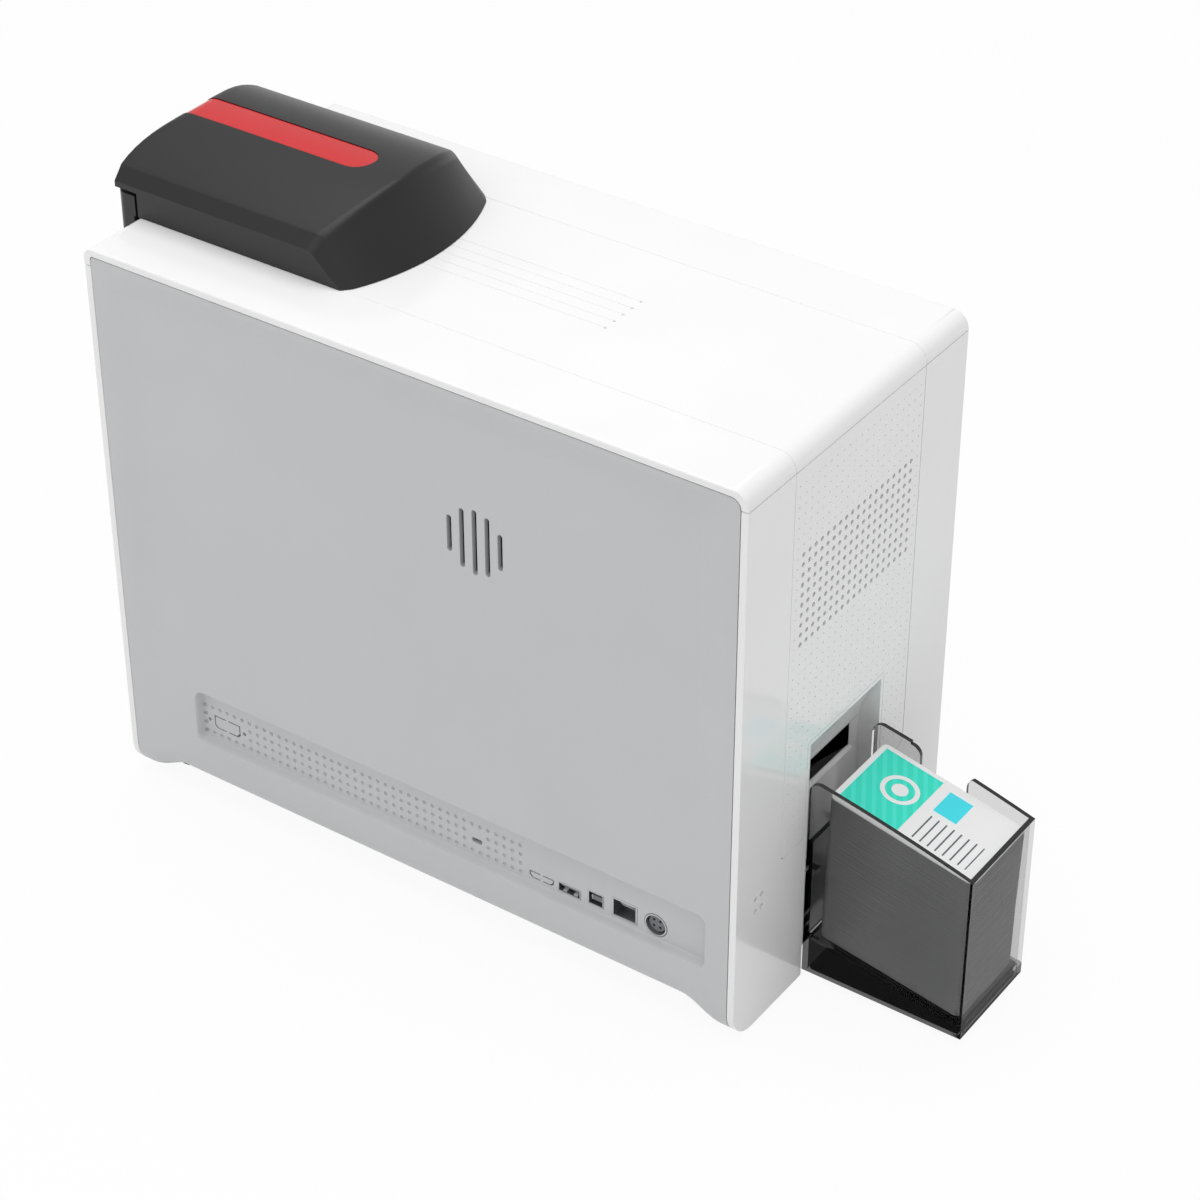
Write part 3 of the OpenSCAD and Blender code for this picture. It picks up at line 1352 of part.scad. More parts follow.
// a ribbon roll on its core and shaft, with a knob towards the door
module ribbon_roll(p, r) {
    rod_y(p.x, p.y, rubber_y0 - 4, rubber_y1 + 4, r);
    rod_y(p.x, p.y, frame_y0 + 1.5, frame_y1 - 3, core_r);
    rod_y(p.x, p.y, frame_y1 - 3 - eps, knob_y, knob_r);
    rod_y(p.x, p.y, shaft_y0, frame_y0 + 1.6, spool_shaft_r);
    difference() {
        rod_y(p.x, p.y, knob_y - eps, grip_y, grip_r);
        for (a = [0:60:300])
            rod_y(p.x + grip_r * cos(a), p.y + grip_r * sin(a), knob_y - 1, grip_y + 1, 2, $fn = 24);
    }
}

module ribbon_supply() color("#26262a") place() ribbon_roll(supply, ribbon_r);

module ribbon_takeup() color("#26262a") place() ribbon_roll(takeup, takeup_r);

ribbon_t = 0.2;
ribbon_rise = 3;

// the ribbon between the rolls, passing under the print head
module ribbon_web() color("#1b1b1e") place() {
    z = head_z - 0.25;
    a = [supply.x + ribbon_r + 0.6, supply.y];
    b = [platen_x - 14, z + ribbon_rise];
    c = [platen_x + 12, z + ribbon_rise];
    d = [takeup.x - takeup_r - 0.6, takeup.y];
    nib0 = [platen_x - nib_half - 0.2, z];
    nib1 = [platen_x + nib_half + 0.2, z];
    for (s = [[a, b], [b, nib0], [nib0, nib1], [nib1, c], [c, d]])
        slab_y(rubber_y0 - 3, rubber_y1 + 3)
            polygon([s[0], s[1], s[1] - [0, ribbon_t], s[0] - [0, ribbon_t]]);
}

fan_x1 = body_l - wall - 0.2;
fan_x0 = fan_x1 - fan_d;
fan_r = fan_s / 2 - 2;
fan_hub = 10;
fan_hole_r = 1.7;
fan_hole_ring = 0.6;
fan_bridge = 1.5;
blade_turn = 52;
fan_spots = [mid_y - fan_s / 2 - 0.5, mid_y + fan_s / 2 + 0.5];

module fan_frames() color(black) place()
    for (y = fan_spots) {
        difference() {
            box([fan_x0, y - fan_s / 2, fan_z - fan_s / 2], [fan_x1, y + fan_s / 2, fan_z + fan_s / 2]);
            rod_x(y, fan_z, fan_x0 - 1, fan_x1 + 1, fan_r);
            for (a = [45:90:315])
                rod_x(y + fan_s * fan_hole_ring * cos(a), fan_z + fan_s * fan_hole_ring * sin(a),
                    fan_x0 - 1, fan_x1 + 1, fan_hole_r, $fn = 24);
        }
        rod_x(y, fan_z, fan_x0, fan_x0 + fan_bridge, fan_hub);
        for (a = [0:90:270]) translate([fan_x0, y, fan_z]) rotate([a, 0, 0])
            translate([0, fan_hub - 1, -fan_bridge])
                cube([fan_bridge, fan_r - fan_hub + 1.4, 2 * fan_bridge]);
    }

module fan_impeller(y) color(plastic) place() {
    blades = 7;
    rod_x(y, fan_z, fan_x0 + 2.2, fan_x1 - 1, fan_hub);
    for (k = [0:blades - 1])
        translate([(fan_x0 + fan_x1) / 2 + 0.6, y, fan_z]) rotate([k * 360 / blades, 0, 0])
            translate([0, fan_hub - 1, 0]) rotate([0, blade_turn, 0])
            translate([-(fan_d - 5) / 2, 0, -0.5]) cube([fan_d - 5, fan_r - fan_hub, 1]);
}

module fan_impeller_a() fan_impeller(fan_spots[0]);

module fan_impeller_b() fan_impeller(fan_spots[1]);

base_pan();
rubber_feet();
base_screws();
top_shell();
feed_end_shell();
exit_end_shell();
vent_panel();
exit_niche();
rear_panel();
usb_a_port();
usb_b_port();
lan_port();
power_inlet();
front_door();
hinge_pins();
display_module();
power_button();
up_button();
down_button();
select_button();
status_lights();
door_latch();
hopper_tray();
card_stack();
top_card();
feeder_nose();
nose_seal();
feeder_hood();
hood_window();
card_magazine();
blank_cards();
card_weight();
frame_rear();
frame_front();
tie_bars();
card_guides();
feed_roller();
cleaning_roller();
inlet_roller();
inlet_pinch();
platen_roller();
outlet_roller();
outlet_pinch();
card_turner();
turner_motor();
exit_roller();
head_shaft();
head_arm();
print_head();
ribbon_supply();
ribbon_takeup();
ribbon_web();
drive_motor();
motor_pinion();
drive_gear();
timing_belt();
fan_frames();
fan_impeller_a();
fan_impeller_b();
main_board();
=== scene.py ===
"""Looks of a desktop card printer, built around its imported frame.

Measures are in millimetres from the housing's corner at the feeder end, on the socket side and
at the bottom of the legs: x runs to the exit end, y to the door side and z up.
"""
import json
import math

import bpy
from mathutils import Matrix, Vector

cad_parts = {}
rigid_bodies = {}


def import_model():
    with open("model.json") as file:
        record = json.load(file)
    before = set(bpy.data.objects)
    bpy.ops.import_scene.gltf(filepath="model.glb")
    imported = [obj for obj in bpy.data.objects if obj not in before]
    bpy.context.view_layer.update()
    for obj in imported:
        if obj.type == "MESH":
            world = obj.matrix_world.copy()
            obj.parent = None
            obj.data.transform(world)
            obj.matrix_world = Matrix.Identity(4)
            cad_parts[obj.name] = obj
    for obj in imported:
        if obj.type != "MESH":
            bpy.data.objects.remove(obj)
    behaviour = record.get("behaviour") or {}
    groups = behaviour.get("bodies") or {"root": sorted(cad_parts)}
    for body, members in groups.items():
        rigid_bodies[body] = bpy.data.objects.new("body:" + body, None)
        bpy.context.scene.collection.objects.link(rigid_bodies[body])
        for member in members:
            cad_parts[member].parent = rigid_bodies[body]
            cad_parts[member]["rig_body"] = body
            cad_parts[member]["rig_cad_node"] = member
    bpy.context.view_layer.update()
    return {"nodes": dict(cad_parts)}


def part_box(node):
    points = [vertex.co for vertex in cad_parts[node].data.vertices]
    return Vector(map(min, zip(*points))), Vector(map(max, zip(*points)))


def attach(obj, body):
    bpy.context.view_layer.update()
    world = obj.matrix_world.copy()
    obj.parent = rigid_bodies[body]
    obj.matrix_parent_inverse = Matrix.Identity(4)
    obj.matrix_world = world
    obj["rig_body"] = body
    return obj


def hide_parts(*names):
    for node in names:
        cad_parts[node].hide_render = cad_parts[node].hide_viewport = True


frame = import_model()

MM = 0.001
CORNER = Vector((-244.5, -101.0, 3.0))
AXES = {"x": Vector((1, 0, 0)), "y": Vector((0, 1, 0)), "z": Vector((0, 0, 1))}

# the housing's length, width and height, its wall, and the seam between its parts
BODY_L, BODY_W, BODY_H = 406.0, 202.0, 337.0
WALL, SEAM = 4.0, 0.5
# the middle plane, and the rounding between roof and exit end
MID_Y, EXIT_R = 101.0, 10.0
# depth of the roof's grooves in the solid, and as deep as they look
GROOVE_D, GROOVE_SEEN = 0.6, 0.22


def at(x, y, z):
    """A place on the printer in the shared frame, in metres."""
    return (Vector((x, y, z)) + CORNER) * MM


def mm(point):
    """The millimetres of a place in the shared frame."""
    return Vector(point) / MM - CORNER


def node_box(name):
    """Lowest and highest corner of a CAD node, in millimetres."""
    low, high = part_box(name)
    return mm(low), mm(high)


# ---------- working in Blender ----------


def only(*objs):
    """Object mode, with these objects selected and the last one active."""
    if bpy.context.mode != "OBJECT":
        bpy.ops.object.mode_set(mode="OBJECT")
    bpy.ops.object.select_all(action="DESELECT")
    for obj in objs:
        obj.select_set(True)
    if objs:
        bpy.context.view_layer.objects.active = objs[-1]


def settled(name):
    """The active object with its place put into its mesh, under its name."""
    obj = bpy.context.object
    only(obj)
    bpy.ops.object.transform_apply(location=True, rotation=True, scale=True)
    obj.name = obj.data.name = name.replace(" ", "_")
    return obj


def cube(name, low, high):
    """A block between two corners."""
    only()
    low, high = at(*low), at(*high)
    bpy.ops.mesh.primitive_cube_add(size=1, location=(low + high) / 2, scale=high - low)
    return settled(name)


def rod(name, axis, place, length, radius, sides=32):
    """A cylinder along an axis, from a place."""
    only()
    middle = at(*place) + AXES[axis] * length * MM / 2
    turn = {"x": (0, math.pi / 2, 0), "y": (math.pi / 2, 0, 0), "z": (0, 0, 0)}[axis]
    bpy.ops.mesh.primitive_cylinder_add(
        vertices=sides, radius=radius * MM, depth=length * MM, location=middle, rotation=turn
    )
    return settled(name)


def plate(name, outline, axis, low, high):
    """A closed outline on the plane across an axis, drawn out along it from low to high."""
    only()
    bpy.ops.mesh.primitive_circle_add(vertices=len(outline), fill_type="NGON")
    obj = bpy.context.object
    for vertex, (a, b) in zip(obj.data.vertices, outline):
        vertex.co = at(*{"x": (low, a, b), "y": (a, low, b), "z": (a, b, low)}[axis])
    bpy.ops.object.mode_set(mode="EDIT")
    bpy.ops.mesh.select_all(action="SELECT")
    bpy.ops.mesh.extrude_region_move(
        TRANSFORM_OT_translate={"value": AXES[axis] * (high - low) * MM}
    )
    bpy.ops.mesh.select_all(action="SELECT")
    bpy.ops.mesh.normals_make_consistent(inside=False)
    return settled(name)


def pick(obj, kind, test):
    """Edit mode with the faces or corners selected that pass a test of place and direction."""
    only(obj)
    mesh = obj.data
    bpy.ops.object.mode_set(mode="EDIT")
    bpy.ops.mesh.select_mode(type=kind)
    bpy.ops.mesh.select_all(action="DESELECT")
    bpy.ops.object.mode_set(mode="OBJECT")
    if kind == "FACE":
        for face in mesh.polygons:
            face.select = test(mm(face.center), face.normal)
    else:
        for vertex in mesh.vertices:
            vertex.select = test(mm(vertex.co), vertex.normal)
    bpy.ops.object.mode_set(mode="EDIT")


def applied(obj, kind, **settings):
    """The object with one modifier, applied."""
    only(obj)
    modifier = obj.modifiers.new(kind, kind)
    for key, value in settings.items():
        setattr(modifier, key, value)
    bpy.ops.object.modifier_apply(modifier=modifier.name)
    return obj


def softened(obj, width, segments=2, angle=40):
    """Rounds every sharp edge a little and shades the rest smooth."""
    applied(
        obj, "BEVEL", width=width * MM, segments=segments,
        limit_method="ANGLE", angle_limit=math.radians(angle), use_clamp_overlap=True,
    )
    return smooth(obj)


def smooth(obj, angle=32):
    """Shades the object smooth but for its sharp edges, with the large flat faces left flat."""
    only(obj)
    bpy.ops.object.shade_smooth_by_angle(angle=math.radians(angle))
    return applied(obj, "WEIGHTED_NORMAL", keep_sharp=True, weight=80)


def facing_out(obj):
    """Turns every face of an open skin or a closed piece outwards."""
    only(obj)
    bpy.ops.object.mode_set(mode="EDIT")
    bpy.ops.mesh.select_all(action="SELECT")
    bpy.ops.mesh.remove_doubles(threshold=0.001 * MM)
    bpy.ops.mesh.normals_make_consistent(inside=False)
    only(obj)
    return obj


def joined(name, *objs):
    """Several objects made one."""
    only(*objs)
    if len(objs) > 1:
        bpy.ops.object.join()
    return settled(name)


def cut(obj, *tools, operation="DIFFERENCE", solver="EXACT"):
    """Takes the tools' room out of the object, or keeps what is inside them."""
    tool = joined("tool", *tools)
    applied(obj, "BOOLEAN", object=tool, operation=operation, solver=solver)
    bpy.data.objects.remove(tool)
    return obj


def arrayed(obj, count, step):
    """The object copied along a step."""
    return applied(
        obj, "ARRAY", count=count, use_relative_offset=False,
        use_constant_offset=True, constant_offset_displace=Vector(step) * MM,
    )


def skin_of(node, name):
    """A closed copy of a CAD node's skin, its doubles merged and its flat faces joined."""
    only(frame["nodes"][node])
    bpy.ops.object.duplicate()
    copy = bpy.context.object
    copy.parent = None
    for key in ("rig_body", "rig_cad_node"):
        del copy[key]
    copy.data.materials.clear()
    bpy.ops.object.mode_set(mode="EDIT")
    bpy.ops.mesh.select_all(action="SELECT")
    bpy.ops.mesh.remove_doubles(threshold=0.002 * MM)
    bpy.ops.mesh.dissolve_limited(angle_limit=math.radians(0.6))
    return settled(name)


def arc(centre, radius, start, end, steps):
    """Places along an arc, angles in degrees."""
    angles = [math.radians(start + (end - start) * i / steps) for i in range(steps + 1)]
    return [(centre[0] + radius * math.cos(a), centre[1] + radius * math.sin(a)) for a in angles]


def round_rect(low, high, radius, steps=6):
    """Outline of a rectangle with round corners."""
    (x0, y0), (x1, y1), r = low, high, radius
    centres = (x1 - r, y1 - r), (x0 + r, y1 - r), (x0 + r, y0 + r), (x1 - r, y0 + r)
    return [p for i, centre in enumerate(centres) for p in arc(centre, r, 90 * i, 90 * (i + 1), steps)]


# ---------- materials ----------


def srgb(code):
    """The linear colour of a hex code."""
    parts = [int(code[i : i + 2], 16) / 255 for i in (1, 3, 5)]
    return [c / 12.92 if c <= 0.04045 else ((c + 0.055) / 1.055) ** 2.4 for c in parts] + [1.0]


def node(tree, kind, inputs=None, **settings):
    """Adds a node with its settings, values and links."""
    made = tree.nodes.new("ShaderNode" + kind)
    for key, value in settings.items():
        setattr(made, key, value)
    for key, value in (inputs or {}).items():
        if isinstance(value, bpy.types.NodeSocket):
            tree.links.new(value, made.inputs[key])
        else:
            made.inputs[key].default_value = value
    return made


def begun(name):
    """A new material with its tree, its shader and the object's coordinates."""
    material = bpy.data.materials.new(name)
    material.use_nodes = True
    tree = material.node_tree
    return material, tree, tree.nodes["Principled BSDF"], node(tree, "TexCoord").outputs["Object"]


def surface(name, colours, roughness, grain, depth, cloud=60, stretch=(1, 1, 1), **sockets):
    """A surface made of two close colours in a soft cloud, with a roughness that wanders between
    two values and a grain, cloud and grain size in millimetres and depth as bump."""
    material, tree, shader, place = begun(name)
    drawn = node(tree, "Mapping", {"Vector": place, "Scale": stretch}).outputs[0]
    soft = node(tree, "TexNoise", {"Vector": place, "Scale": 1 / (cloud * MM), "Detail": 3.0})
    fine = node(tree, "TexNoise", {"Vector": drawn, "Scale": 1 / (grain * MM), "Detail": 4.0})
    tint = node(
        tree, "Mix", {0: soft.outputs["Fac"], 6: srgb(colours[0]), 7: srgb(colours[1])}, data_type="RGBA"
    )
    low, high = roughness
    gloss = node(
        tree, "MapRange",
        {"Value": fine.outputs["Fac"], "From Min": 0.3, "From Max": 0.7, "To Min": low, "To Max": high},
    )
    bump = node(tree, "Bump", {"Height": fine.outputs["Fac"], "Strength": 0.5, "Distance": depth * MM})
    tree.links.new(tint.outputs[2], shader.inputs["Base Color"])
    tree.links.new(gloss.outputs[0], shader.inputs["Roughness"])
    tree.links.new(bump.outputs[0], shader.inputs["Normal"])
    for key, value in sockets.items():
        shader.inputs[key.replace("_", " ")].default_value = value
    return material


def lamps_pass(material, tint):
    """Lets the rays from lamps straight through, so that a clear part casts only a faint shadow."""
    tree = material.node_tree
    rays = node(tree, "LightPath")
    free = node(tree, "BsdfTransparent", {"Color": srgb(tint)})
    seen = tree.nodes["Principled BSDF"].outputs[0]
    mix = node(tree, "MixShader", {0: rays.outputs["Is Shadow Ray"], 1: seen, 2: free.outputs[0]})
    tree.links.new(mix.outputs[0], tree.nodes["Material Output"].inputs["Surface"])
    return material


def clear_sheet(name, colours, shade):
    """A clear sheet that only dims what is behind it; the shade tints the light of lamps."""
    sheet = surface(
        name, colours, (0.02, 0.04), 40, 0.0005, Transmission_Weight=1.0, IOR=1.12
    )
    return lamps_pass(sheet, shade)


# polished moulded ABS: clean white, so smooth that it mirrors what stands in front of it
white_abs = surface("polished white ABS", ("#ededed", "#f3f3f3"), (0.10, 0.14), 30, 0.004)
# spark-eroded ABS: an even satin grey with a fine grain that is drawn a little coarse
grey_abs = surface("satin grey ABS", ("#c3c4c5", "#c8c9ca"), (0.42, 0.5), 0.9, 0.01)
# spark-eroded ABS in black: soft broad shine
black_abs = surface("satin black ABS", ("#171717", "#1c1c1c"), (0.33, 0.4), 0.8, 0.008)
# tinted acrylic, diffusing: red light comes through and the skin shines
red_acrylic = surface(
    "red acrylic", ("#dc2a2e", "#e63236"), (0.12, 0.18), 12, 0.002,
    Transmission_Weight=0.25, IOR=1.49,
)
dark_red_foam = surface("dark red foam", ("#4a0e10", "#5c1214"), (0.8, 0.95), 0.8, 0.1)
# smoked polycarbonate: clear walls that only dim, with dark rims where one looks along the wall
smoked = clear_sheet("smoked polycarbonate", ("#d5d5d5", "#dcdcdc"), "#dfe2e2")
# the same material under the tray's floor, painted darker as shade, since little light comes in there
smoked_painted_shade = clear_sheet("smoked polycarbonate with painted shade", ("#5e5e5e", "#686868"), "#8c8e8e")
# dark rims of the smoked walls, where one looks into the wall's thickness; the same dark colour is also
# painted shade on the pad under the tray
smoked_rim_and_shade = surface("smoked polycarbonate rim and painted shade", ("#1e1f1f", "#2b2c2c"), (0.1, 0.2), 6, 0.002)
# laminated PVC card stock: white faces and darker cut edges
card_stock = surface("white PVC card", ("#ebebeb", "#f0f0f0"), (0.22, 0.3), 3, 0.002)
card_cut = surface(
    "cut PVC card edge", ("#727272", "#868686"), (0.4, 0.6), 0.7, 0.01, stretch=(1, 1, 0.2)
)
# pressed polyester fleece, which keeps dust out of the fans' room
filter_fleece = surface("polyester filter fleece", ("#c4c6c7", "#d0d2d3"), (0.85, 0.95), 0.6, 0.15)
# black nylon bristle of the slot's brushes, whose black is also painted shade for the depth of the card
# slot
bristle_and_shade_black = surface(
    "black nylon bristle and painted shade", ("#0c0c0c", "#161616"), (0.7, 0.9), 0.5, 0.05, stretch=(1, 1, 0.1)
)
# moulded natural rubber feet and ground EPDM rollers
foot_rubber = surface("moulded black rubber", ("#1b1b1b", "#242424"), (0.7, 0.85), 0.6, 0.05)
roller_rubber = surface("ground EPDM rubber", ("#2a2a2b", "#353536"), (0.6, 0.75), 0.5, 0.03)
blue_sleeve = surface("tacky blue silicone", ("#3f78b8", "#4b86c6"), (0.15, 0.3), 3, 0.01)
zinc = surface("zinc-plated steel", ("#a9adb2", "#b9bdc2"), (0.25, 0.42), 8, 0.004, Metallic=1.0)
tinned = surface("tinned contact wire", ("#d6d6d2", "#e6e6e2"), (0.35, 0.5), 0.5, 0.002, Metallic=0.35)
nickel = surface("nickel-plated steel", ("#b8babc", "#cacccd"), (0.3, 0.42), 4, 0.003, Metallic=1.0)
brushed = surface(
    "brushed aluminium", ("#a8abb0", "#bcc0c4"), (0.25, 0.45), 1.2, 0.01,
    stretch=(1, 0.04, 1), Metallic=1.0,
)
brass = surface("turned brass", ("#b8923e", "#cba650"), (0.2, 0.35), 1.0, 0.005, Metallic=1.0)
acetal = surface("natural acetal", ("#e3dcc6", "#ebe5d2"), (0.3, 0.4), 2, 0.005)
dark_abs = surface("dark moulded ABS", ("#303234", "#393b3d"), (0.4, 0.5), 0.9, 0.01)
key_abs = surface("grey key ABS", ("#6a6d70", "#74777a"), (0.35, 0.45), 0.9, 0.008)
magazine_plastic = surface(
    "dark red polycarbonate", ("#5a1012", "#6c1618"), (0.12, 0.2), 20, 0.003,
    Transmission_Weight=0.5, IOR=1.58,
)
ribbon_film = surface(
    "wound ribbon film", ("#131316", "#1f1f24"), (0.15, 0.3), 1.2, 0.01, stretch=(1, 0.05, 1)
)
head_glaze = surface("glazed print head", ("#8f7634", "#a88c46"), (0.2, 0.35), 3, 0.005, Metallic=0.8)
solder_mask = surface("green solder mask", ("#1d5233", "#2a6b45"), (0.25, 0.4), 2.5, 0.03)
display_glass = surface("display glass", ("#0b0d0f", "#101316"), (0.04, 0.08), 30, 0.001)
light_pipe = surface("light pipe", ("#7fd6a0", "#95e2b2"), (0.1, 0.2), 3, 0.002)


def dressed(names, material):
    """CAD nodes that keep their shape and take a finish."""
    for name in names:
        obj = frame["nodes"][name]
        obj.data.materials.clear()
        obj.data.materials.append(material)


def fitted(obj, body, slot, materials, *nodes):
    """The piece takes its finish, rides on its body and stands for its CAD nodes."""
    if materials:
        obj.data.materials.clear()
        for material in materials:
            obj.data.materials.append(material)
    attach(obj, body)
    if nodes:
        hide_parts(*nodes)
    return obj


# ---------- camera, light and floor ----------

# the camera's focal length and place in millimetres, and its turn and rise in degrees
LENS, EYE, EYE_TURN, EYE_RISE = 100.25, (1078.2, -1082.9, 1173.6), 34.89, 35.10
# strength of the pale room's light, and how much of the floor that is seen is its own white
ROOM_LIGHT, FLOOR_GLOW = 0.57, 0.93


def camera():
    """Looks down on the socket side and the exit end, from where the whole printer fits the frame."""
    data = bpy.data.cameras.new("camera")
    data.lens = LENS
    data.sensor_width = 36.0
    eye = bpy.data.objects.new("camera", data)
    bpy.context.scene.collection.objects.link(eye)
    turn, rise = math.radians(EYE_TURN), math.radians(EYE_RISE)
    back = Vector((math.sin(turn) * math.cos(rise), -math.cos(turn) * math.cos(rise), math.sin(rise)))
    eye.location = at(*EYE)
    eye.rotation_mode = "QUATERNION"
    eye.rotation_quaternion = (-back).to_track_quat("-Z", "Y")
    bpy.context.scene.camera = eye


def lamp(name, place, size, watts, aim=(200, 100, 150)):
    """A square area lamp that looks at the printer; its size is in metres."""
    data = bpy.data.lights.new(name, "AREA")
    data.size = size
    data.energy = watts
    light = bpy.data.objects.new(name, data)
    bpy.context.scene.collection.objects.link(light)
    light.location = at(*place)
    light.rotation_mode = "QUATERNION"
    light.rotation_quaternion = (light.location - at(*aim)).to_track_quat("Z", "Y")


def seen_clearly(tree):
    """The light path, and whether a ray comes from the camera or through a clear part."""
    rays = node(tree, "LightPath").outputs
    clear = node(
        tree, "Math", {0: rays["Is Camera Ray"], 1: rays["Is Transmission Ray"]}, operation="MAXIMUM"
    )
    return rays, clear.outputs[0]


def studio():
    """Soft light from a pale room with a broad lamp overhead, and a white floor."""
    world = bpy.data.worlds.new("pale room")
    bpy.context.scene.world = world
    world.use_nodes = True
    tree = world.node_tree
    clear = seen_clearly(tree)[1]
    room = node(tree, "Background", {"Color": (1, 1, 1, 1), "Strength": ROOM_LIGHT})
    backdrop = node(tree, "Background", {"Color": (1, 1, 1, 1), "Strength": 1.0})
    mix = node(tree, "MixShader", {0: clear, 1: room.outputs[0], 2: backdrop.outputs[0]})
    tree.links.new(mix.outputs[0], tree.nodes["World Output"].inputs["Surface"])
    lamp("overhead", (200, 100, 1900), 2.2, 22.5)
    lamp("socket side fill", (-300, -1900, 1100), 1.6, 5.5)

    only()
    bpy.ops.mesh.primitive_plane_add(size=12, location=(0, 0, 0))
    floor = settled("floor")
    material, tree, shader, _ = begun("white studio floor")
    shader.inputs["Base Color"].default_value = srgb("#f4f4f4")
    shader.inputs["Roughness"].default_value = 0.9
    rays, clear = seen_clearly(tree)
    both = node(tree, "Math", {0: clear, 1: rays["Is Glossy Ray"]}, operation="MAXIMUM")
    glow = node(tree, "Emission", {"Color": (1, 1, 1, 1), "Strength": 1.0})
    share = node(tree, "Math", {0: both.outputs[0], 1: FLOOR_GLOW}, operation="MULTIPLY")
    mix = node(tree, "MixShader", {0: share.outputs[0], 1: shader.outputs[0], 2: glow.outputs[0]})
    tree.links.new(mix.outputs[0], tree.nodes["Material Output"].inputs["Surface"])
    floor.data.materials.append(material)


camera()
studio()
bpy.context.scene.view_settings.view_transform = "Standard"

# ---------- housing ----------

# the hopper's niche in the exit end, the card slot in it, and the perforated panel over it
NICHE_X, NICHE_T, NICHE_H = 394.0, 2.4, 152.5
NICHE_Y0, NICHE_Y1 = 65.75, 134.25
SLOT_Y0, SLOT_Y1, SLOT_Z0, SLOT_Z1 = 72.5, 127.5, 107.9, 122.9
VENT_Y0, VENT_Y1, VENT_Z = 41.0, 161.0, 94.0
VENT_DY, VENT_DZ, VENT_TOP = 5.575, 5.91, 317.6
# rows and columns of the perforated panel, counted from its top and from the socket side
OPEN_FIRST, OPEN_LAST, OPEN_MID, LAST_COLUMN = 7, 16, 11.5, 20
ROWS_LOW, ROWS_HIGH = 99, 322
AIR_HOLE_R, DIMPLE_R, DIMPLE_R_MIN, DIMPLE_D = 1.45, 1.6, 0.95, 0.5


def shells():
    """White shells: the CAD skins with their edges eased as a mould leaves them."""
    for name, piece, width, worked in (
        ("top_shell", "white top", 0.5, shallow_grooves),
        ("feed_end_shell", "feeder end", 0.5, None),
        ("exit_end_shell", "exit end", 0.4, corner_holes),
        ("exit_niche", "niche liner", 0.4, slot_frame),
    ):
        skin = skin_of(name, piece)
        if worked:
            worked(skin)
        fitted(softened(skin, width), "housing", "shell_white", [white_abs], name)


def shallow_grooves(shell):
    """The grooves' floors lifted, so that they show as the faint lines of a polished mould."""
    for vertex in shell.data.vertices:
        p = mm(vertex.co)
        out = Vector((max(p.x - BODY_L + EXIT_R, 0), 0, p.z - BODY_H + EXIT_R))
        if out.z > 0 and abs(out.length - EXIT_R + GROOVE_D) < 0.05:
            vertex.co += out.normalized() * (GROOVE_D - GROOVE_SEEN) * MM


def corner_holes(shell):
    """Four blind holes low on the exit end."""
    depth, radius = 2.4, 1.75
    places = [(BODY_L - depth, y, z) for y in (17.9, 23.6) for z in (76.6, 84.6)]
    cut(shell, *[rod("tool", "x", place, 5, radius, 24) for place in places])


def slot_frame(liner):
    """Slanted frame round the card slot in the niche."""
    x0, x1, flare = NICHE_X - 1.8, NICHE_X + 1, 3
    tool = cube(
        "tool", (x0, SLOT_Y0 - flare, SLOT_Z0 - flare), (x1, SLOT_Y1 + flare, SLOT_Z1 + flare)
    )
    pick(tool, "VERT", lambda p, n: p.x < NICHE_X)
    wide, high = SLOT_Y1 - SLOT_Y0, SLOT_Z1 - SLOT_Z0
    middle = at(x0, (SLOT_Y0 + SLOT_Y1) / 2, (SLOT_Z0 + SLOT_Z1) / 2)
    narrowed = (1, wide / (wide + 2 * flare), high / (high + 2 * flare))
    bpy.ops.transform.resize(value=narrowed, center_override=middle)
    only(tool)
    cut(liner, tool)


def slot_brush_and_shade():
    """Black bristle strips over and under the card's way behind the slot, as anti-static brushes have;
    their black also stands for the shade deep in the slot, as painted shade.
    """
    middle = (SLOT_Z0 + SLOT_Z1) / 2
    x0, x1 = 387.9, NICHE_X - NICHE_T - 0.1
    strips = [
        plate(
            "strip", [(x0, low), (x1, low), (x1, high), (x0, high)], "y", SLOT_Y0 - 2, SLOT_Y1 + 2
        )
        for low, high in ((SLOT_Z0 - 3, middle - 0.5), (middle + 0.5, SLOT_Z1 + 3))
    ]
    brush = softened(joined("slot brush and painted shade", *strips), 0.3)
    fitted(brush, "housing", "plastic_dark", [bristle_and_shade_black])


def filter_mat():
    """Pale fleece that closes the air holes from behind."""
    half_y, half_z, middle = 55.0, 32.0, VENT_TOP - OPEN_MID * VENT_DZ
    outline = round_rect((MID_Y - half_y, middle - half_z), (MID_Y + half_y, middle + half_z), 4)
    mat = plate("filter mat", outline, "x", 403.0, 403.8)
    fitted(softened(mat, 0.2), "housing", "panel_grey", [filter_fleece])


def vent_y(column):
    """Place along y of a column of holes."""
    return MID_Y + (column - LAST_COLUMN / 2) * VENT_DY


def blind_dimple(column, z, radius):
    """Tool for one blind dimple, which narrows to its floor."""
    tool = rod("tool", "x", (BODY_L - DIMPLE_D, vent_y(column), z), 4, radius, 12)
    pick(tool, "VERT", lambda p, n: p.x < BODY_L)
    bpy.ops.transform.resize(value=(1, 0.3, 0.3), center_override=at(BODY_L, vent_y(column), z))
    only(tool)
    return tool


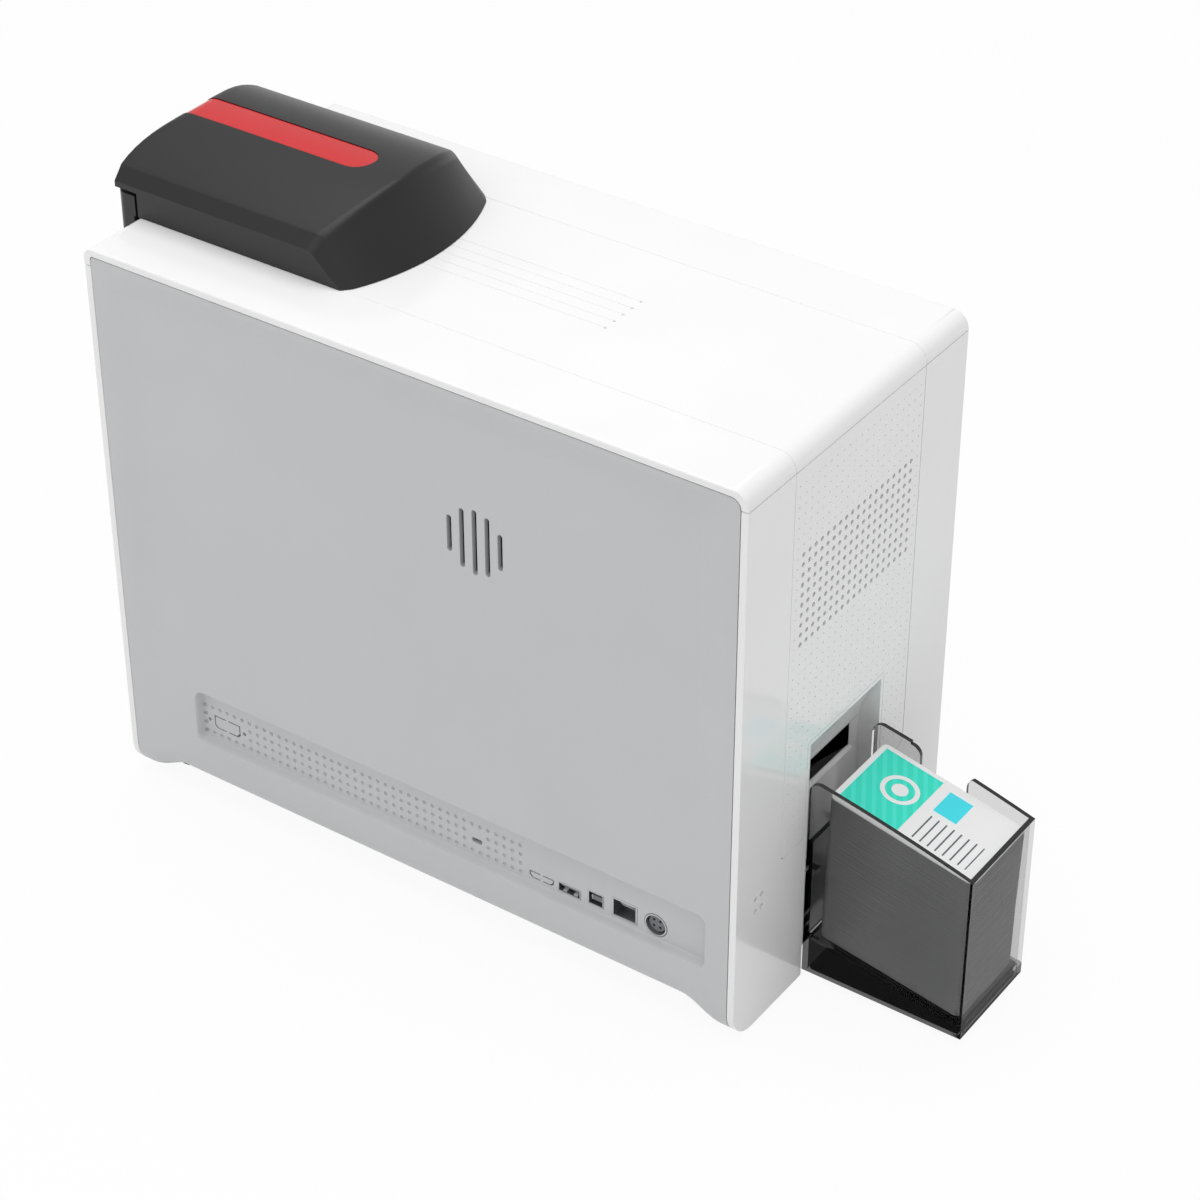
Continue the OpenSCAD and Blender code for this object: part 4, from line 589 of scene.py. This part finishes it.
def perforated_panel():
    """Panel in the exit end: blind dimples that grow towards a field of open air holes."""
    y0, y1, top = VENT_Y0 + 0.3, VENT_Y1 - 0.3, BODY_H - 9.7 - SEAM
    bottom, corner = VENT_Z + 0.3, 3
    feet = arc((y0 + corner, bottom + corner), corner, 180, 270, 6)
    feet += arc((y1 - corner, bottom + corner), corner, 270, 360, 6)
    panel = plate("perforated panel", [(y1, top), (y0, top)] + feet, "x", BODY_L - 1.9, BODY_L)
    gap = 0.2 + NICHE_T
    cut(panel, cube("tool", (390, NICHE_Y0 - gap, 50), (410, NICHE_Y1 + gap, NICHE_H + gap)))
    softened(panel, 0.3)
    tools = []
    for row in range(-1, 37):
        z = VENT_TOP - row * VENT_DZ
        if not ROWS_LOW <= z <= ROWS_HIGH:
            continue
        # dimples shrink from five rows off the middle of the open field
        away = max(abs(row - OPEN_MID) - 5, 0)
        radius = max(DIMPLE_R - 0.018 * away**1.15, DIMPLE_R_MIN)
        first = blind_dimple(0, z, radius)
        if OPEN_FIRST <= row <= OPEN_LAST:
            air = rod("tool", "x", (BODY_L - 3, vent_y(1), z), 4, AIR_HOLE_R, 12)
            tools += [first, arrayed(air, LAST_COLUMN - 1, (0, VENT_DY, 0))]
            tools.append(blind_dimple(LAST_COLUMN, z, radius))
        else:
            tools.append(arrayed(first, LAST_COLUMN + 1, (0, VENT_DY, 0)))
    cut(panel, *tools, solver="MANIFOLD")
    fitted(smooth(panel), "housing", "shell_white", [white_abs], "vent_panel")


shells()
slot_brush_and_shade()
perforated_panel()
filter_mat()

# ---------- socket side ----------

# depth of the side panel's dish and of the socket recess
DISH, RECESS_Y = 3.6, 5.5
# rise of the underside between the legs, where a leg's foot and its ramp end, and the rounding
LEG_RISE, LEG_FLAT, LEG_END, BOTTOM_R = 9.0, 10.0, 35.0, 18.0
PANEL_X0, PANEL_X1, PANEL_TOP = WALL + SEAM, BODY_L - WALL - SEAM, BODY_H - WALL - SEAM
# round corners at the panel's top: at the feeder end and at the exit end
CORNER_L, CORNER_R = 1.6, 5.5
# between these heights the panel's rows run level
LEVEL_LOW, LEVEL_HIGH = 40.0, PANEL_TOP - 36
# sockets: middle along x, lower edge, width and height; the inlet: middle along x and z, radius
USB_A, USB_B, LAN = (299.8, 45.1, 14.4, 6.1), (316.6, 45.8, 9.8, 8.7), (334.7, 45.1, 15.6, 12.1)
INLET = (354.1, 51.1, 7.0)


def eased(t):
    """Runs softly from 0 to 1."""
    t = min(max(t, 0.0), 1.0)
    return t * t * (3 - 2 * t)


def leg_height(x):
    """Height of the underside at x."""
    from_end = min(x, BODY_L - x)
    return LEG_RISE * eased((from_end - LEG_FLAT) / (LEG_END - LEG_FLAT))


def spaced(*marks):
    """Places along a line, from marks that each give a start, an end and a step."""
    places = []
    for start, end, step in marks:
        count = max(round((end - start) / step), 1)
        places += [start + (end - start) * i / count for i in range(count)]
    return places + [marks[-1][1]]


def in_recess(x, z):
    """How deep a place lies in the socket recess, from 0 at its soft rim to 1 on its floor."""
    low, high, radius, rim = (50.4, 40.6), (387.8, 75.6), 6.0, 2.6
    u = abs(x - (low[0] + high[0]) / 2) - (high[0] - low[0]) / 2 + radius
    v = abs(z - (low[1] + high[1]) / 2) - (high[1] - low[1]) / 2 + radius
    outside = math.hypot(max(u, 0), max(v, 0)) + min(max(u, v), 0) - radius
    return eased(-outside / rim)


def panel_roof(near_l, near_r):
    """Height of the panel's top edge at a distance in from its ends."""
    roof = PANEL_TOP
    if near_l < CORNER_L:
        roof -= CORNER_L - math.sqrt(max(CORNER_L**2 - (CORNER_L - near_l) ** 2, 0))
    if near_r < CORNER_R:
        roof -= CORNER_R - math.sqrt(max(CORNER_R**2 - (CORNER_R - near_r) ** 2, 0))
    return roof


def panel_place(x, row):
    """Place on the outer face of the side panel, at x and on the row of a height."""
    near_l, near_r, ground = x - PANEL_X0, PANEL_X1 - x, leg_height(x)
    z = row
    if row < LEVEL_LOW:
        z = ground + (row - LEG_RISE) * (LEVEL_LOW - ground) / (LEVEL_LOW - LEG_RISE)
    elif row > LEVEL_HIGH:
        rise = panel_roof(near_l, near_r) - LEVEL_HIGH
        z = LEVEL_HIGH + (row - LEVEL_HIGH) * rise / (PANEL_TOP - LEVEL_HIGH)
    dish = DISH * eased((near_l - 3) / 24) * eased((near_r - 3) / 24)
    dish = dish * eased((PANEL_TOP - 2 - z) / 17) * eased((z - ground - 40) / 110)
    turn = BOTTOM_R - math.sqrt(max(BOTTOM_R**2 - max(BOTTOM_R - z + ground, 0) ** 2, 0))
    sunk = in_recess(x, z)
    return at(x, dish * (1 - sunk) + RECESS_Y * sunk + turn, z)


def panel_form():
    """The side panel's skin as a grid with close rows where its form turns, thickened inwards."""
    x0, x1, top = PANEL_X0, PANEL_X1, PANEL_TOP
    xs = spaced(
        (x0, x0 + 6, 0.6), (x0 + 6, 50, 2.6), (50, 60, 0.4), (60, 378, 4), (378, 388.1, 0.4),
        (388.1, x1 - 6, 2), (x1 - 6, x1, 0.6),
    )
    turns = [1 - math.cos(math.radians(7.5 * i)) for i in range(12)]
    zs = [LEG_RISE + BOTTOM_R * turn for turn in turns] + spaced(
        (LEG_RISE + BOTTOM_R, 40, 2), (40, 50, 0.4), (50, 66, 4), (66, 76, 0.4),
        (76, top - 36, 6), (top - 36, top - 4, 2.5), (top - 4, top, 1),
    )
    only()
    columns, rows = len(xs) - 1, len(zs) - 1
    bpy.ops.mesh.primitive_grid_add(x_subdivisions=columns, y_subdivisions=rows, size=1)
    panel = bpy.context.object
    for vertex in panel.data.vertices:
        x, row = xs[round((vertex.co.x + 0.5) * columns)], zs[round((vertex.co.y + 0.5) * rows)]
        vertex.co = panel_place(x, row)
    panel = settled("side panel")
    applied(panel, "SOLIDIFY", thickness=3 * MM, offset=-1)
    if mm(panel.data.vertices[0].co).y < -1:
        raise ValueError("the side panel is thickened outwards")
    return panel


def slot_tool(low, high, radius, corner_steps, y0=3):
    """Tool for an opening with round corners through the side panel, from y0 inwards."""
    return plate("tool", round_rect(low, high, radius, corner_steps), "y", y0, 12)


def side_panel():
    """Grey side panel: softly dished inside its rim, drawn in under the printer at its lower edge,
    with speaker slots, a soft-edged socket recess, a field of dimples and two knock-outs."""
    panel = panel_form()
    slots = []
    for i, length in enumerate((21.6, 35, 38.7, 35, 21.5)):
        x, middle = 229.2 + 7.85 * i, 246.7
        ends = (x - 1.5, middle - length / 2), (x + 1.5, middle + length / 2)
        slots.append(slot_tool(*ends, 1.49, 5, y0=-2))
    cut(panel, *slots)
    gap, tools = 0.2, []
    for centre, low, wide, high in (USB_A, USB_B, LAN):
        ends = (centre - wide / 2 - gap, low - gap), (centre + wide / 2 + gap, low + high + gap)
        tools.append(slot_tool(*ends, 0.5, 3))
    tools.append(rod("tool", "y", (INLET[0], 3, INLET[1]), 9, INLET[2] + gap, 48))
    lock_slot = (236.8, 52.0), (243.3, 55.0)
    tools.append(slot_tool(*lock_slot, 1, 4))
    for x in (55.7, 80.5):
        tools.append(rod("tool", "y", (x, RECESS_Y - 2, 54.6), 3.5, 1.2, 16))
    cut(panel, *tools)
    cut(panel, knock_out((59.2, 50.3), (77.6, 58.9), 1.8))
    cut(panel, knock_out((274.1, 45.6), (289.9, 50.2), 1.6))
    dimples(panel)
    fitted(smooth(panel, 28), "housing", "panel_grey", [grey_abs], "rear_panel")


def knock_out(low, high, drawn_in):
    """Tool for a knock-out's outline: a fine slit, drawn in at its lower corners, with two bridges."""
    slit, y0, y1 = 0.8, RECESS_Y - 1, RECESS_Y + 2.4

    def outline(gap):
        (x0, z0), (x1, z1) = (low[0] + gap, low[1] + gap), (high[0] - gap, high[1] - gap)
        left = [(x0, z1), (x0, z0 + drawn_in), (x0 + drawn_in, z0)]
        return left + [(x1 - drawn_in, z0), (x1, z0 + drawn_in), (x1, z1)]

    ring = plate("ring", outline(0), "y", y0, y1)
    middle = (low[0] + high[0]) / 2
    bridge = cube("bridge", (middle - 0.9, y0 - 2, low[1] - 1), (middle + 0.9, y1 + 2, high[1] + 1))
    cut(ring, plate("core", outline(slit), "y", y0 - 1, y1 + 1))
    return cut(ring, bridge)


def dimples(panel):
    """Four rows of small dimples along the recess, which stop for the knock-out and the lock slot."""
    places = []
    first, last, columns = 53.2, 268.4, 42
    for column in range(columns):
        x = first + column * (last - first) / (columns - 1)
        for row, z in enumerate((63.8, 57.9, 52.1, 46.3)):
            if row in (1, 2) and (54 < x < 83 or 233 < x < 246):
                continue
            places.append((x, z))
    only()
    bpy.ops.mesh.primitive_uv_sphere_add(segments=12, ring_count=6, radius=1.3 * MM)
    ball = bpy.context.object
    made = []
    for x, z in places:
        copy = ball.copy()
        copy.data = ball.data.copy()
        copy.location = at(x, RECESS_Y - 0.1, z)
        bpy.context.scene.collection.objects.link(copy)
        made.append(copy)
    bpy.data.objects.remove(ball)
    cut(panel, *made, solver="MANIFOLD")


def socket_fittings():
    """Contact wires and insert of the network socket, springs and tongues of the USB sockets, and
    the bright ring of the power inlet."""
    x, z = LAN[:2]
    y = RECESS_Y
    slant = [(y + 0.9, z + 10.7), (y + 1.5, z + 10.7), (y + 4.6, z + 5.4), (y + 4.0, z + 5.4)]
    wire = plate("network contacts", slant, "x", x - 3.8, x - 3.25)
    fitted(arrayed(wire, 8, (1.02, 0, 0)), "housing", "steel", [tinned])
    back = cube("network insert", (x - 6.7, y + 9.6, z + 1.1), (x + 6.7, y + 12.9, z + 11.0))
    fitted(softened(back, 0.3), "housing", "plastic_dark", [key_abs])
    x, z = USB_A[:2]
    rise = [(y + 0.6, z + 0.7), (y + 4.2, z + 1.7), (y + 4.2, z + 1.4), (y + 0.6, z + 0.5)]
    spring = plate("usb springs", rise, "x", x - 4.6, x - 2.2)
    fitted(arrayed(spring, 2, (6.8, 0, 0)), "housing", "steel", [tinned])
    tongues = [cube("tongue", (x - 5.7, y + 0.9, z + 3.3), (x + 5.7, y + 6, z + 5.1))]
    x, z = USB_B[:2]
    tongues.append(cube("tongue", (x - 2.9, y + 0.9, z + 2.8), (x + 2.9, y + 6, z + 6.0)))
    fitted(softened(joined("usb tongues", *tongues), 0.3), "housing", "plastic_dark", [key_abs])
    ring = rod("inlet ring", "y", (INLET[0], y - 0.25, INLET[1]), 1.2, INLET[2] - 0.2, 48)
    cut(ring, rod("tool", "y", (INLET[0], y - 1, INLET[1]), 4, INLET[2] - 1.0, 48))
    fitted(softened(ring, 0.15), "housing", "steel", [nickel])


side_panel()
socket_fittings()

# ---------- feeder ----------

# the hood's front at x0, its length from the housing's corner, half its width, its height
HOOD_X0, HOOD_L, HOOD_HALF, HOOD_H = -12.0, 154.0, 61.25, 38.5
# radii of its crown and of its rear edge, height of its sides, width of the bevel over them
CROWN_R, BACK_R, HOOD_SIDE_H, HOOD_BEVEL = 115.0, 126.0, 17.2, 6.25
# its cut-off corners, the run of its rear slope, its front's radius, the blend and the lift
HOOD_CHAMFER, REAR_RUN, HOOD_FRONT_R, HOOD_BLEND, HOOD_LIFT = 18.0, 20.5, 12.0, 3.0, 0.3
# the window's middle, its end and half its width
WINDOW_Y, WINDOW_L, WINDOW_R = 101.5, 111.5, 10.5


def blend_min(a, b, k):
    """The lower of two heights, rounded over where they meet."""
    h = max(k - abs(a - b), 0) / k
    return min(a, b) - h * h * k / 4


def hood_edge(d):
    """Crease and rear edge of the hood at a distance in from its side: two arcs a run apart, and
    the corners of the rear edge are cut off."""
    arc_x = HOOD_L - BACK_R + math.sqrt(BACK_R**2 - (HOOD_HALF - d) ** 2)
    return arc_x - REAR_RUN, min(arc_x, HOOD_L - HOOD_CHAMFER + d)


def hood_ridge(d):
    """Height of the hood between its front and its rear slope: a bevel, then the crown."""
    crown = HOOD_H - CROWN_R + math.sqrt(CROWN_R**2 - (HOOD_HALF - max(d, HOOD_BEVEL)) ** 2)
    return crown if d > HOOD_BEVEL else HOOD_SIDE_H + (crown - HOOD_SIDE_H) * d / HOOD_BEVEL


def hood_height(x, d):
    """Height of the hood over the housing, at x and a distance in from its side."""
    a = max(HOOD_FRONT_R - (x - HOOD_X0), 0)
    front = HOOD_H - HOOD_FRONT_R + math.sqrt(HOOD_FRONT_R**2 - a * a)
    front = front if a > 0 else front + HOOD_BLEND
    top = blend_min(hood_ridge(d), front, 1.5)
    crease, edge = hood_edge(d)
    return blend_min(top, hood_ridge(d) * (edge - x) / (edge - crease), HOOD_BLEND)


def hood_stations(d):
    """Places along x where the hood's form changes: round front, round crease, rear edge."""
    crease, edge = hood_edge(d)
    fronts = [HOOD_X0 + HOOD_FRONT_R * (1 - math.cos(math.radians(a))) for a in range(0, 91, 9)]
    return fronts + [20, 50, 80, 100] + [crease + i * HOOD_BLEND / 5 for i in range(-5, 6)] + [edge]


def hood_form(name, lower, thickness):
    """The hood's skin, sunk by lower and thickened inwards."""
    crown_rows = [HOOD_BEVEL + (HOOD_HALF - HOOD_BEVEL) * i / 20 for i in range(21)]
    half = [0, 2, 4, 5.6] + crown_rows
    rows = [(d, -1) for d in half] + [(d, 1) for d in reversed(half[:-1])]
    along, across = len(hood_stations(0)) - 1, len(rows) - 1
    only()
    bpy.ops.mesh.primitive_grid_add(x_subdivisions=along, y_subdivisions=across, size=1)
    form = bpy.context.object
    for vertex in form.data.vertices:
        d, side = rows[round((vertex.co.y + 0.5) * across)]
        x = hood_stations(d)[round((vertex.co.x + 0.5) * along)]
        height = max(hood_height(x, d), 0.4) - lower
        vertex.co = at(x, MID_Y + side * (HOOD_HALF - d), BODY_H + height)
    form = settled(name)
    bpy.ops.object.mode_set(mode="EDIT")
    bpy.ops.mesh.select_mode(type="EDGE")
    bpy.ops.mesh.select_all(action="SELECT")
    bpy.ops.mesh.region_to_loop()
    bpy.ops.mesh.extrude_edges_move(TRANSFORM_OT_translate={"value": (0, 0, -1 * MM)})
    only(form)
    floor = at(0, 0, BODY_H + HOOD_LIFT).z
    for vertex in [v for v in form.data.vertices if v.select]:
        vertex.co.z = floor
    facing_out(form)
    applied(form, "SOLIDIFY", thickness=thickness * MM, offset=-1, use_even_offset=True)
    return form


def window_plan(name, gap):
    """Tool for the window's outline, widened by a gap: open at the front, round at its other end."""
    r = WINDOW_R + gap
    outline = [(HOOD_X0 - 5, WINDOW_Y + r), (HOOD_X0 - 5, WINDOW_Y - r)]
    outline += arc((WINDOW_L - WINDOW_R, WINDOW_Y), r, -90, 90, 16)
    return plate(name, outline, "z", BODY_H + 14, BODY_H + 60)


def hood():
    """Black hood with a red window let into its crown."""
    nose_room = cube("tool", (HOOD_X0 - 6, 0, BODY_H - 5), (2.6, BODY_W, BODY_H + 14))
    form = hood_form("hood shell", 0, 2.5)
    cut(form, nose_room, window_plan("tool", 0.2), solver="MANIFOLD")
    fitted(smooth(form, 30), "hood", "hood_black", [black_abs], "feeder_hood")
    window = hood_form("red window", 0.5, 2.0)
    cut(window, window_plan("tool", 0), operation="INTERSECT", solver="MANIFOLD")
    fitted(smooth(window, 30), "hood", "window_red", [red_acrylic], "hood_window")


def nose():
    """Fixed nose under the hood's front, hung on the feeder end."""
    skin = softened(skin_of("feeder_nose", "nose"), 0.8, 3)
    fitted(skin, "housing", "hood_black", [black_abs], "feeder_nose")


hood()
nose()

# ---------- hopper and cards ----------

HOP_X0, HOP_T = 405.0, 2.5
CARD_L, CARD_W, CARD_T = 85.6, 54.0, 0.76
# the share of its room in a stack that a card fills, so that its edge shows
CARD_SHARE = 0.96
STACK_X, STACK_Z, STACK_Y0, STACK_H = 412.4, 27.0, 72.3, 92.0
# slopes of the tray's floor and of the top card in degrees, and the ends of the gap for fingers
FLOOR_SLOPE, TOP_SLOPE, FINGER_X = 10.0, 12.2, (434.0, 462.0)
# how far the stack leans outwards, and over which height
STACK_LEAN, LEAN_H = 2.2, 93


def rounded_finger_gap(tray):
    """Rounds the wall's upper corners beside the gap for the fingers."""
    radius = 6
    for x, side in zip(FINGER_X, (-1, 1)):
        top = max(mm(v.co).z for v in tray.data.vertices if abs(mm(v.co).x - x) < 0.5)
        near, far = min(x, x + radius * side) - 0.02, max(x, x + radius * side) + 0.02
        block = cube("corner", (near, MID_Y + 20, top - radius), (far, MID_Y + 40, top + 4))
        cut(block, rod("tool", "y", (x + radius * side, MID_Y, top - radius), 60, radius, 32))
        cut(tray, block)


def tray_finish(face, low, high):
    """Which finish a face of the tray takes: 0 clear, 1 rim, 2 under its floor, where the walls take
    painted shade.
    """
    p = mm(face.center)
    side = min(p.y - low.y, high.y - p.y) < HOP_T + 0.1 and abs(face.normal.y) < 0.95
    end = high.x - p.x < HOP_T + 0.1 and abs(face.normal.x) < 0.95
    top = face.normal.z > 0.3 and p.z > 60
    # faces below the floor's plane take the painted shade
    under = p.z < STACK_Z - HOP_T - (p.x - STACK_X) * math.tan(math.radians(FLOOR_SLOPE))
    return 1 if top or p.x > HOP_X0 and (side or end) else 2 if under else 0


def hopper():
    """Clear hopper: flat clear walls, with dark rims where one looks into the wall's thickness; under
    its sloped floor the walls are painted darker as shade, and a dark pad there is painted shade too."""
    tray = skin_of("hopper_tray", "hopper")
    rounded_finger_gap(tray)
    slope = math.radians(FLOOR_SLOPE)
    # the walls are split along a plane just under the floor, where the painted shade begins
    pick(tray, "FACE", lambda p, n: True)
    under_floor = at(STACK_X, MID_Y, STACK_Z - HOP_T - 0.2)
    bpy.ops.mesh.bisect(plane_co=under_floor, plane_no=(math.sin(slope), 0, math.cos(slope)))
    applied(
        tray, "BEVEL", width=0.35 * MM, segments=1,
        limit_method="ANGLE", angle_limit=math.radians(40), use_clamp_overlap=True,
    )
    bpy.ops.object.shade_flat()
    tray.data.materials.clear()
    # the last finish is the darker copy, painted shade for the walls under the floor
    for material in (smoked, smoked_rim_and_shade, smoked_painted_shade):
        tray.data.materials.append(material)
    low, high = node_box("hopper_tray")
    for face in tray.data.polygons:
        face.material_index = tray_finish(face, low, high)
    fitted(tray, "hopper", "hopper_clear", [], "hopper_tray")
    # a dark pad under the tray's floor: painted shade for the dark room there, not a part of the printer
    inside = HOP_T + 0.2
    outline = round_rect((HOP_X0 + inside, low.y + inside), (high.x - inside, high.y - inside), 2.5)
    pad = plate("painted shade pad", outline, "z", low.z + 0.3, low.z + 1.5)
    fitted(softened(pad, 0.3), "hopper", "plastic_dark", [smoked_rim_and_shade])


def card_form(name):
    """One card lying flat with a corner at its own zero, round corners as standard cards have."""
    card = plate(name, round_rect((0, 0), (CARD_L, CARD_W), 3.18, 4), "z", 0, CARD_T * CARD_SHARE)
    card.data.transform(Matrix.Translation(-at(0, 0, 0)))
    return card


def pile(name, places):
    """Copies of one card, each with its own mesh, at (x, y, z, slope in degrees)."""
    first = card_form("card")
    made = []
    for x, y, z, slope in places:
        copy = first.copy()
        copy.data = first.data.copy()
        tilt = Matrix.Rotation(math.radians(slope), 4, "Y")
        copy.data.transform(Matrix.Translation(at(x, y, z)) @ tilt)
        bpy.context.scene.collection.objects.link(copy)
        made.append(copy)
    bpy.data.objects.remove(first)
    return joined(name, *made)


def printed_cards():
    """The stack in the hopper, card by card, and the top card with a plain print."""
    count = int(STACK_H / CARD_T)
    places = []
    for i in range(count):
        h = i * STACK_H / count
        slope = FLOOR_SLOPE + (TOP_SLOPE - FLOOR_SLOPE) * min(h / 40, 1)
        drift = 0.25 * math.sin(i * 2.4) * math.sin(i * 0.37)
        places.append((STACK_X + h * STACK_LEAN / LEAN_H + drift, STACK_Y0, STACK_Z + h, slope))
    stack = pile("printed cards", places)
    stack.data.materials.append(card_cut)
    fitted(stack, "hopper", "card_edge", [], "card_stack")
    top = pile("topmost card", [(STACK_X + STACK_LEAN, STACK_Y0, STACK_Z + STACK_H + 0.02, TOP_SLOPE)])
    applied(top, "BEVEL", width=0.1 * MM, segments=1, limit_method="ANGLE", angle_limit=math.radians(60))
    fitted(top, "hopper", "card_print", [card_print()], "top_card")


def card_print():
    """White laminated card with a teal print: a band with slanting stripes, a ring and a few rules."""
    material, tree, shader, place = begun("printed PVC card")
    corner = at(STACK_X + STACK_LEAN, STACK_Y0, STACK_Z + STACK_H)
    moved = node(tree, "VectorMath", {0: place, 1: tuple(corner)}, operation="SUBTRACT").outputs[0]
    level = (0, math.radians(-TOP_SLOPE), 0)
    in_mm = (1000, 1000, 1000)
    flat = node(tree, "Mapping", {"Vector": moved, "Rotation": level, "Scale": in_mm}).outputs[0]
    axes = node(tree, "SeparateXYZ", {0: flat})
    u, v = axes.outputs[0], axes.outputs[1]

    def math_node(kind, a, b=0.0):
        return node(tree, "Math", {0: a, 1: b}, operation=kind).outputs[0]

    def both(a, b):
        return math_node("MULTIPLY", a, b)

    def inside(value, low, high):
        return both(math_node("GREATER_THAN", value, low), math_node("LESS_THAN", value, high))

    def striped(value, pitch, share):
        return math_node("LESS_THAN", math_node("FRACT", both(value, pitch)), share)

    # places and sizes on the card are in millimetres from its corner
    white = "#f1f1f1"
    band = both(inside(u, 3.0, 38.0), inside(v, 3.0, 51.0))
    stripes = striped(math_node("ADD", u, both(v, 0.6)), 0.16, 0.42)
    centre = (24.0, 30.0, 0.0)
    ring_d = node(tree, "VectorMath", {0: flat, 1: centre}, operation="DISTANCE").outputs["Value"]
    ring, spot = inside(ring_d, 8.0, 10.5), math_node("LESS_THAN", ring_d, 4.5)
    panel = both(inside(u, 44.0, 58.0), inside(v, 30.0, 48.0))
    rules = both(both(inside(v, 6.0, 26.0), striped(u, 0.22, 0.2)), inside(u, 45.0, 78.0))
    colour = srgb(white)
    for mask, code in (
        (band, "#2fe3c8"), (both(band, stripes), "#43ead4"), (ring, white), (spot, white),
        (panel, "#3fe0ee"), (rules, "#5c6468"),
    ):
        mixed = node(tree, "Mix", {0: mask, 7: srgb(code)}, data_type="RGBA")
        if isinstance(colour, list):
            mixed.inputs[6].default_value = colour
        else:
            tree.links.new(colour, mixed.inputs[6])
        colour = mixed.outputs[2]
    tree.links.new(colour, shader.inputs["Base Color"])
    shader.inputs["Roughness"].default_value = 0.22
    return material


def blank_pile():
    """Blank cards standing ready in the magazine."""
    low, high = node_box("blank_cards")
    room = high.z - low.z
    count = int(room / CARD_T)
    places = [
        (low.x + 0.1 * math.sin(i * 1.7), low.y, low.z + i * room / count, 0) for i in range(count)
    ]
    fitted(pile("blank card pile", places), "housing", "card_white", [card_stock], "blank_cards")


hopper()
printed_cards()
blank_pile()

# ---------- finishes of the CAD nodes that keep their shape ----------

for finish, cad_nodes in (
    (grey_abs, ("base_pan", "front_door")),
    (foot_rubber, ("rubber_feet", "timing_belt")),
    (dark_red_foam, ("nose_seal",)),
    (nickel, ("usb_a_port", "usb_b_port", "lan_port")),
    (zinc, ("base_screws", "hinge_pins", "head_shaft", "tie_bars", "frame_rear", "frame_front")),
    (zinc, ("turner_motor", "drive_motor")),
    (dark_abs, ("card_guides", "card_weight", "fan_frames", "fan_impeller_a", "fan_impeller_b")),
    (key_abs, ("power_inlet", "door_latch")),
    (key_abs, ("power_button", "up_button", "down_button", "select_button")),
    (light_pipe, ("status_lights",)),
    (display_glass, ("display_module",)),
    (magazine_plastic, ("card_magazine",)),
    (roller_rubber, ("feed_roller", "inlet_roller", "platen_roller", "outlet_roller", "exit_roller")),
    (blue_sleeve, ("cleaning_roller",)),
    (brushed, ("inlet_pinch", "outlet_pinch", "card_turner", "head_arm")),
    (head_glaze, ("print_head",)),
    (ribbon_film, ("ribbon_supply", "ribbon_takeup", "ribbon_web")),
    (brass, ("motor_pinion",)),
    (acetal, ("drive_gear",)),
    (solder_mask, ("main_board",)),
):
    dressed(cad_nodes, finish)
